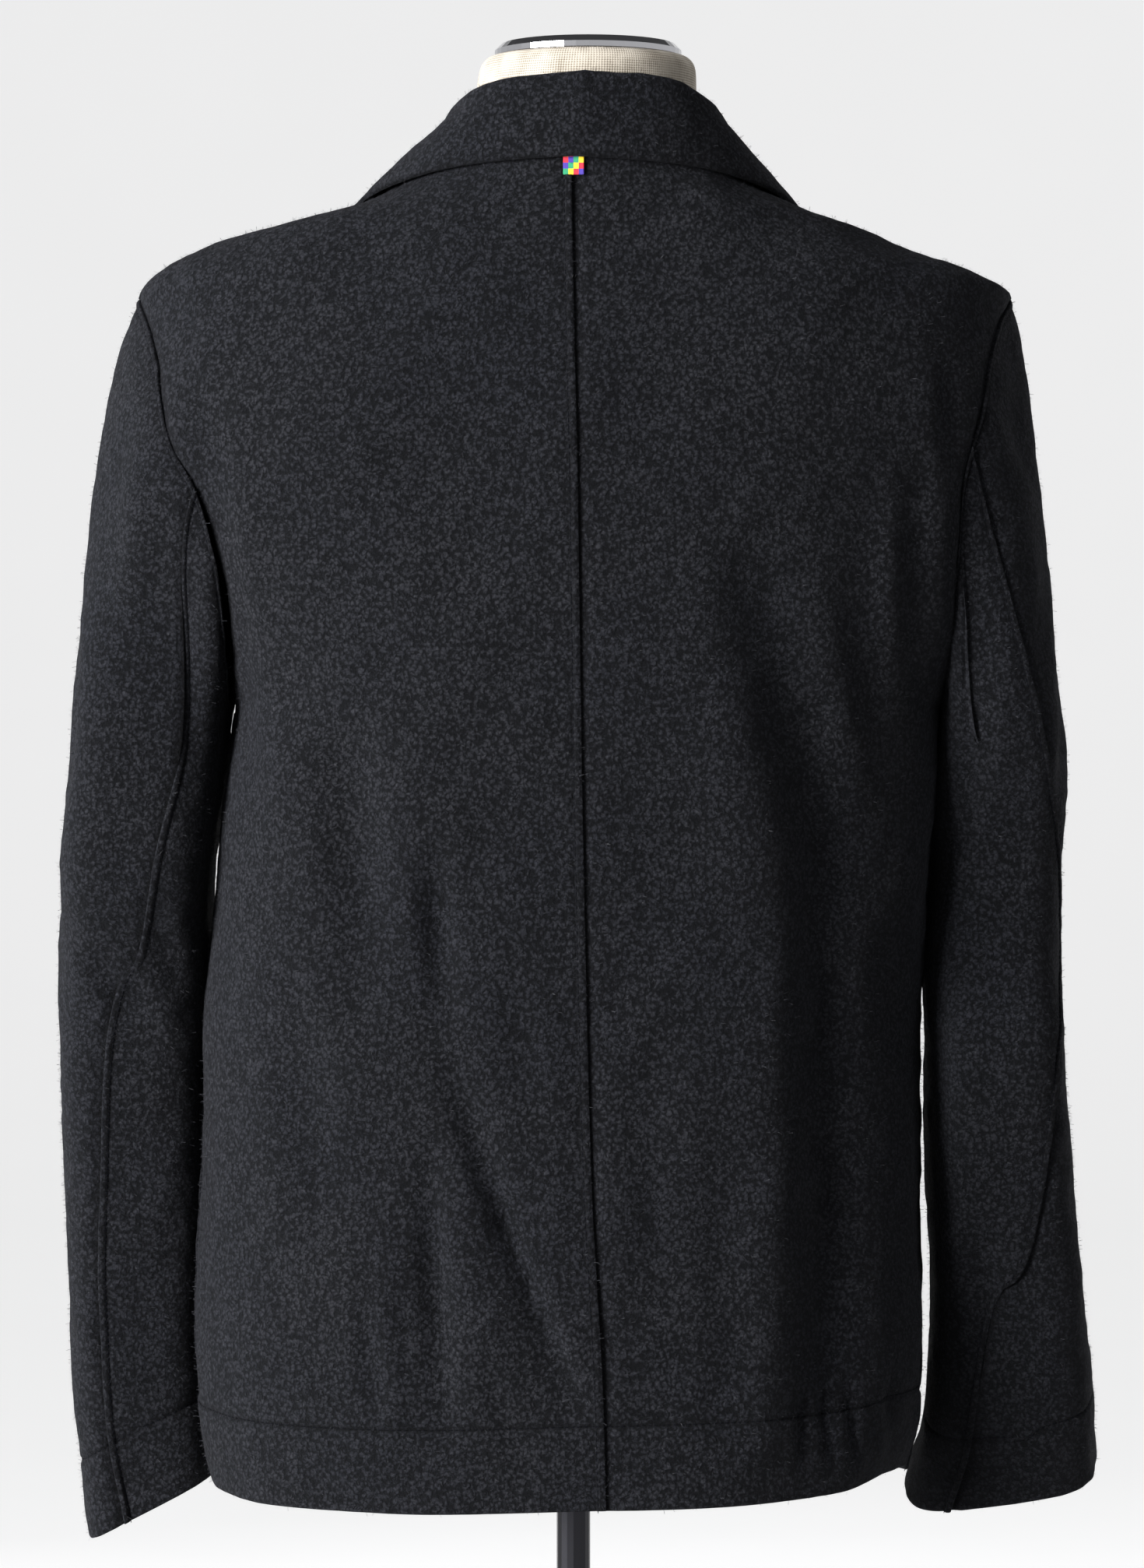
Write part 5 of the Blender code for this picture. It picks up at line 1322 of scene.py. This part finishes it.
def metal_finish(name, colour, roughness, grain):
    """Metal whose gloss is broken by fine marks."""
    material, tree, shader = new_finish(name, roughness, metallic=1.0)
    shader.inputs["Base Color"].default_value = (*colour, 1.0)
    link = tree.links.new
    place = add(tree, "ShaderNodeTexCoord", "place")
    stretch = add(tree, "ShaderNodeMapping", "marks run round")
    stretch.inputs["Scale"].default_value = (1.0, 1.0, 12.0)
    marks = add(tree, "ShaderNodeTexNoise", "marks", Scale=120.0, Detail=5.0)
    link(place.outputs["Object"], stretch.inputs["Vector"])
    link(stretch.outputs["Vector"], marks.inputs["Vector"])
    break_gloss(tree, shader, marks.outputs["Fac"], roughness - grain, roughness + grain)
    raise_by(tree, shader, "fine marks", marks.outputs["Fac"], 0.08, 0.0002)
    return material


def horn_finish():
    """Dark horn with cloudy streaks under a satin polish."""
    material, tree, shader = new_finish("horn", 0.38, Specular_IOR_Level=0.3)
    link = tree.links.new
    place = add(tree, "ShaderNodeTexCoord", "place")
    cloud = add(tree, "ShaderNodeTexNoise", "cloudy streaks", Scale=160.0, Detail=5.0, Distortion=2.5)
    link(place.outputs["Object"], cloud.inputs["Vector"])
    colour = ramp(tree, "horn", (
        (0.35, (0.004, 0.003, 0.003)), (0.60, (0.012, 0.009, 0.008)), (0.80, (0.040, 0.028, 0.021))))
    link(cloud.outputs["Fac"], colour.inputs["Fac"])
    link(colour.outputs["Color"], shader.inputs["Base Color"])
    break_gloss(tree, shader, cloud.outputs["Fac"], 0.28, 0.5)
    raise_by(tree, shader, "polish marks", cloud.outputs["Fac"], 0.1, 0.0003)
    return material


def ribbon_finish():
    """Woven ribbon in a small generic check of violet, red, yellow and green."""
    material, tree, shader = new_finish("ribbon", 0.65, Sheen_Weight=0.1)
    link = tree.links.new
    place = add(tree, "ShaderNodeTexCoord", "place")
    axes = add(tree, "ShaderNodeSeparateXYZ", "across and up")
    link(place.outputs["Object"], axes.inputs["Vector"])
    counts = []
    for word, axis, start, size in (("column", "X", TAB_WIDTH / 2, TAB_WIDTH / 4),
                                    ("row", "Z", -TAB_HEIGHT + TAB_LENGTH / 2, TAB_LENGTH / 4)):
        moved = add(tree, "ShaderNodeMath", f"from the first {word}", operation="ADD")
        moved.inputs[1].default_value = start
        scaled = add(tree, "ShaderNodeMath", f"{word} count", operation="DIVIDE")
        scaled.inputs[1].default_value = size
        whole = add(tree, "ShaderNodeMath", f"whole {word}", operation="FLOOR")
        link(axes.outputs[axis], moved.inputs[0])
        link(moved.outputs[0], scaled.inputs[0])
        link(scaled.outputs[0], whole.inputs[0])
        counts.append(whole)
    stagger = add(tree, "ShaderNodeMath", "each row shifts by one", operation="ADD")
    cycle = add(tree, "ShaderNodeMath", "four colours in turn", operation="FLOORED_MODULO")
    cycle.inputs[1].default_value = 4.0
    share = add(tree, "ShaderNodeMath", "place in the four", operation="MULTIPLY_ADD")
    share.inputs[1].default_value = 0.25
    share.inputs[2].default_value = 0.1
    colour = ramp(tree, "check colours", (
        (0.0, (0.045, 0.020, 0.300)), (0.25, (0.550, 0.006, 0.030)),
        (0.5, (0.800, 0.560, 0.010)), (0.75, (0.006, 0.260, 0.110))))
    colour.color_ramp.interpolation = "CONSTANT"
    for count, socket in zip(counts, (0, 1)):
        link(count.outputs[0], stagger.inputs[socket])
    link(stagger.outputs[0], cycle.inputs[0])
    link(cycle.outputs[0], share.inputs[0])
    link(share.outputs[0], colour.inputs["Fac"])
    link(colour.outputs["Color"], shader.inputs["Base Color"])
    threads = add(tree, "ShaderNodeTexWave", "threads", bands_direction="X", Scale=900.0)
    link(place.outputs["Object"], threads.inputs["Vector"])
    raise_by(tree, shader, "weave", threads.outputs["Fac"], 0.4, 0.0002)
    return material


def studio_finish():
    """Pale paint that glows evenly, so that the lamps leave no hot spot on it."""
    material, tree, shader = new_finish(
        "studio_paint", 0.9, Specular_IOR_Level=0.1, Emission_Strength=STUDIO_GLOW)
    shader.inputs["Emission Color"].default_value = (1.0, 1.0, 1.0, 1.0)
    place = add(tree, "ShaderNodeTexCoord", "place")
    paint = add(tree, "ShaderNodeTexNoise", "rolled paint", Scale=3.0, Detail=3.0)
    colour = ramp(tree, "pale paint", ((0.3, (0.50, 0.50, 0.51)), (0.7, (0.53, 0.53, 0.54))))
    tree.links.new(place.outputs["Object"], paint.inputs["Vector"])
    tree.links.new(paint.outputs["Fac"], colour.inputs["Fac"])
    tree.links.new(colour.outputs["Color"], shader.inputs["Base Color"])
    return material


def turned_mesh(name, profile, steps, slot_name):
    """A surface of revolution round Z; the profile's (radius, height) pairs run along it."""
    bm = bmesh.new()
    points = [bm.verts.new((radius, 0.0, height)) for radius, height in profile]
    edges = [bm.edges.new(pair) for pair in zip(points, points[1:])]
    bmesh.ops.spin(bm, geom=points + edges, axis=(0, 0, 1), cent=(0, 0, 0),
                   angle=2 * math.pi, steps=steps, use_duplicate=False)
    bmesh.ops.remove_doubles(bm, verts=bm.verts, dist=0.000005)
    bmesh.ops.recalc_face_normals(bm, faces=bm.faces)
    mesh = bpy.data.meshes.new(name)
    bm.to_mesh(mesh)
    bm.free()
    mesh.shade_smooth()
    mesh.set_sharp_from_angle(angle=math.radians(40))
    return linked(mesh, FINISHES[slot_name])


def make_studio():
    """A pale floor that curves up all round into a wall, and soft lights."""
    arc_points = [(STUDIO_FLOOR + STUDIO_COVE * math.sin(a), STUDIO_COVE * (1 - math.cos(a)))
                  for a in np.linspace(0, math.pi / 2, 13)]
    floor = turned_mesh("studio_floor", [(0.0, 0.0)] + arc_points
                        + [(STUDIO_FLOOR + STUDIO_COVE, STUDIO_WALL)], 72, "studio_paint")
    floor.visible_diffuse = False
    for light in LIGHTS:
        lamp = bpy.data.lights.new(light.name, "AREA")
        lamp.shape = "DISK"
        lamp.size = light.size
        lamp.energy = light.power
        made = bpy.data.objects.new(light.name, lamp)
        made.visible_glossy = light.name == "key_left"
        made.location = light.place
        aim = Vector(light.aim) - Vector(light.place)
        made.rotation_euler = aim.to_track_quat("-Z", "Y").to_euler()
        bpy.context.scene.collection.objects.link(made)
    world = bpy.data.worlds.new("studio_air")
    world.use_nodes = True
    air = world.node_tree.nodes["Background"]
    air.inputs["Color"].default_value = (*AIR_COLOUR, 1.0)
    air.inputs["Strength"].default_value = AIR_STRENGTH
    bpy.context.scene.world = world
    bpy.context.scene.view_settings.view_transform = "Standard"


def make_camera():
    """The photograph's view, level from behind with a long lens."""
    lens = bpy.data.cameras.new("photograph_view")
    lens.sensor_fit = "AUTO"
    lens.sensor_width = 36.0
    lens.lens = CAMERA_LENS
    camera = bpy.data.objects.new("photograph_view", lens)
    camera.location = CAMERA_PLACE
    camera.rotation_euler = (math.pi / 2, 0.0, math.pi)
    bpy.context.scene.collection.objects.link(camera)
    bpy.context.scene.camera = camera


def paint_kept(node, slot_name):
    """Gives a CAD node that is kept its detailed finish."""
    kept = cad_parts[node]
    for material_slot in kept.material_slots:
        material_slot.link = "OBJECT"
        material_slot.material = FINISHES[slot_name]


def settle(piece, slot_name, *nodes):
    """Gives a finished piece its body and hides the solids that it stands for."""
    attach(piece, "root")
    if nodes:
        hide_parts(*nodes)


FINISHES = {
    "boiled_wool": wool_finish(),
    "thread": thread_finish(),
    "fibre": fibre_finish(),
    "linen": linen_finish(),
    "chrome": metal_finish("chrome", (0.42, 0.42, 0.44), 0.14, 0.05),
    "dark_steel": metal_finish("dark_steel", (0.022, 0.022, 0.025), 0.34, 0.07),
    "horn": horn_finish(),
    "ribbon": ribbon_finish(),
    "studio_paint": studio_finish(),
}


def main():
    """Makes every piece of the scene, hides the solids that they stand for and finishes the kept
    solids.
    """
    make_camera()
    make_studio()
    grids, normals, vs = panel_grids()
    cloth = make_backs(grids, normals, vs) + make_fronts(grids, normals)
    cloth += make_sleeves()
    cloth.append(make_collar())
    for piece in cloth:
        node = piece.name.removeprefix("coat_")
        settle(piece, "boiled_wool", node)
    settle(make_stitches(), "boiled_wool")
    settle(make_button_threads(), "horn")
    for nap in make_nap(cloth):
        settle(nap, "boiled_wool")
    settle(make_torso(), "linen", "form_torso")
    for node in ("form_pole", "form_base"):
        paint_kept(node, "dark_steel")
    paint_kept("form_cap", "chrome")
    paint_kept("tab", "ribbon")
    for count in range(1, len(BUTTON_HEIGHTS) + 1):
        paint_kept(f"button_{count}", "horn")


main()
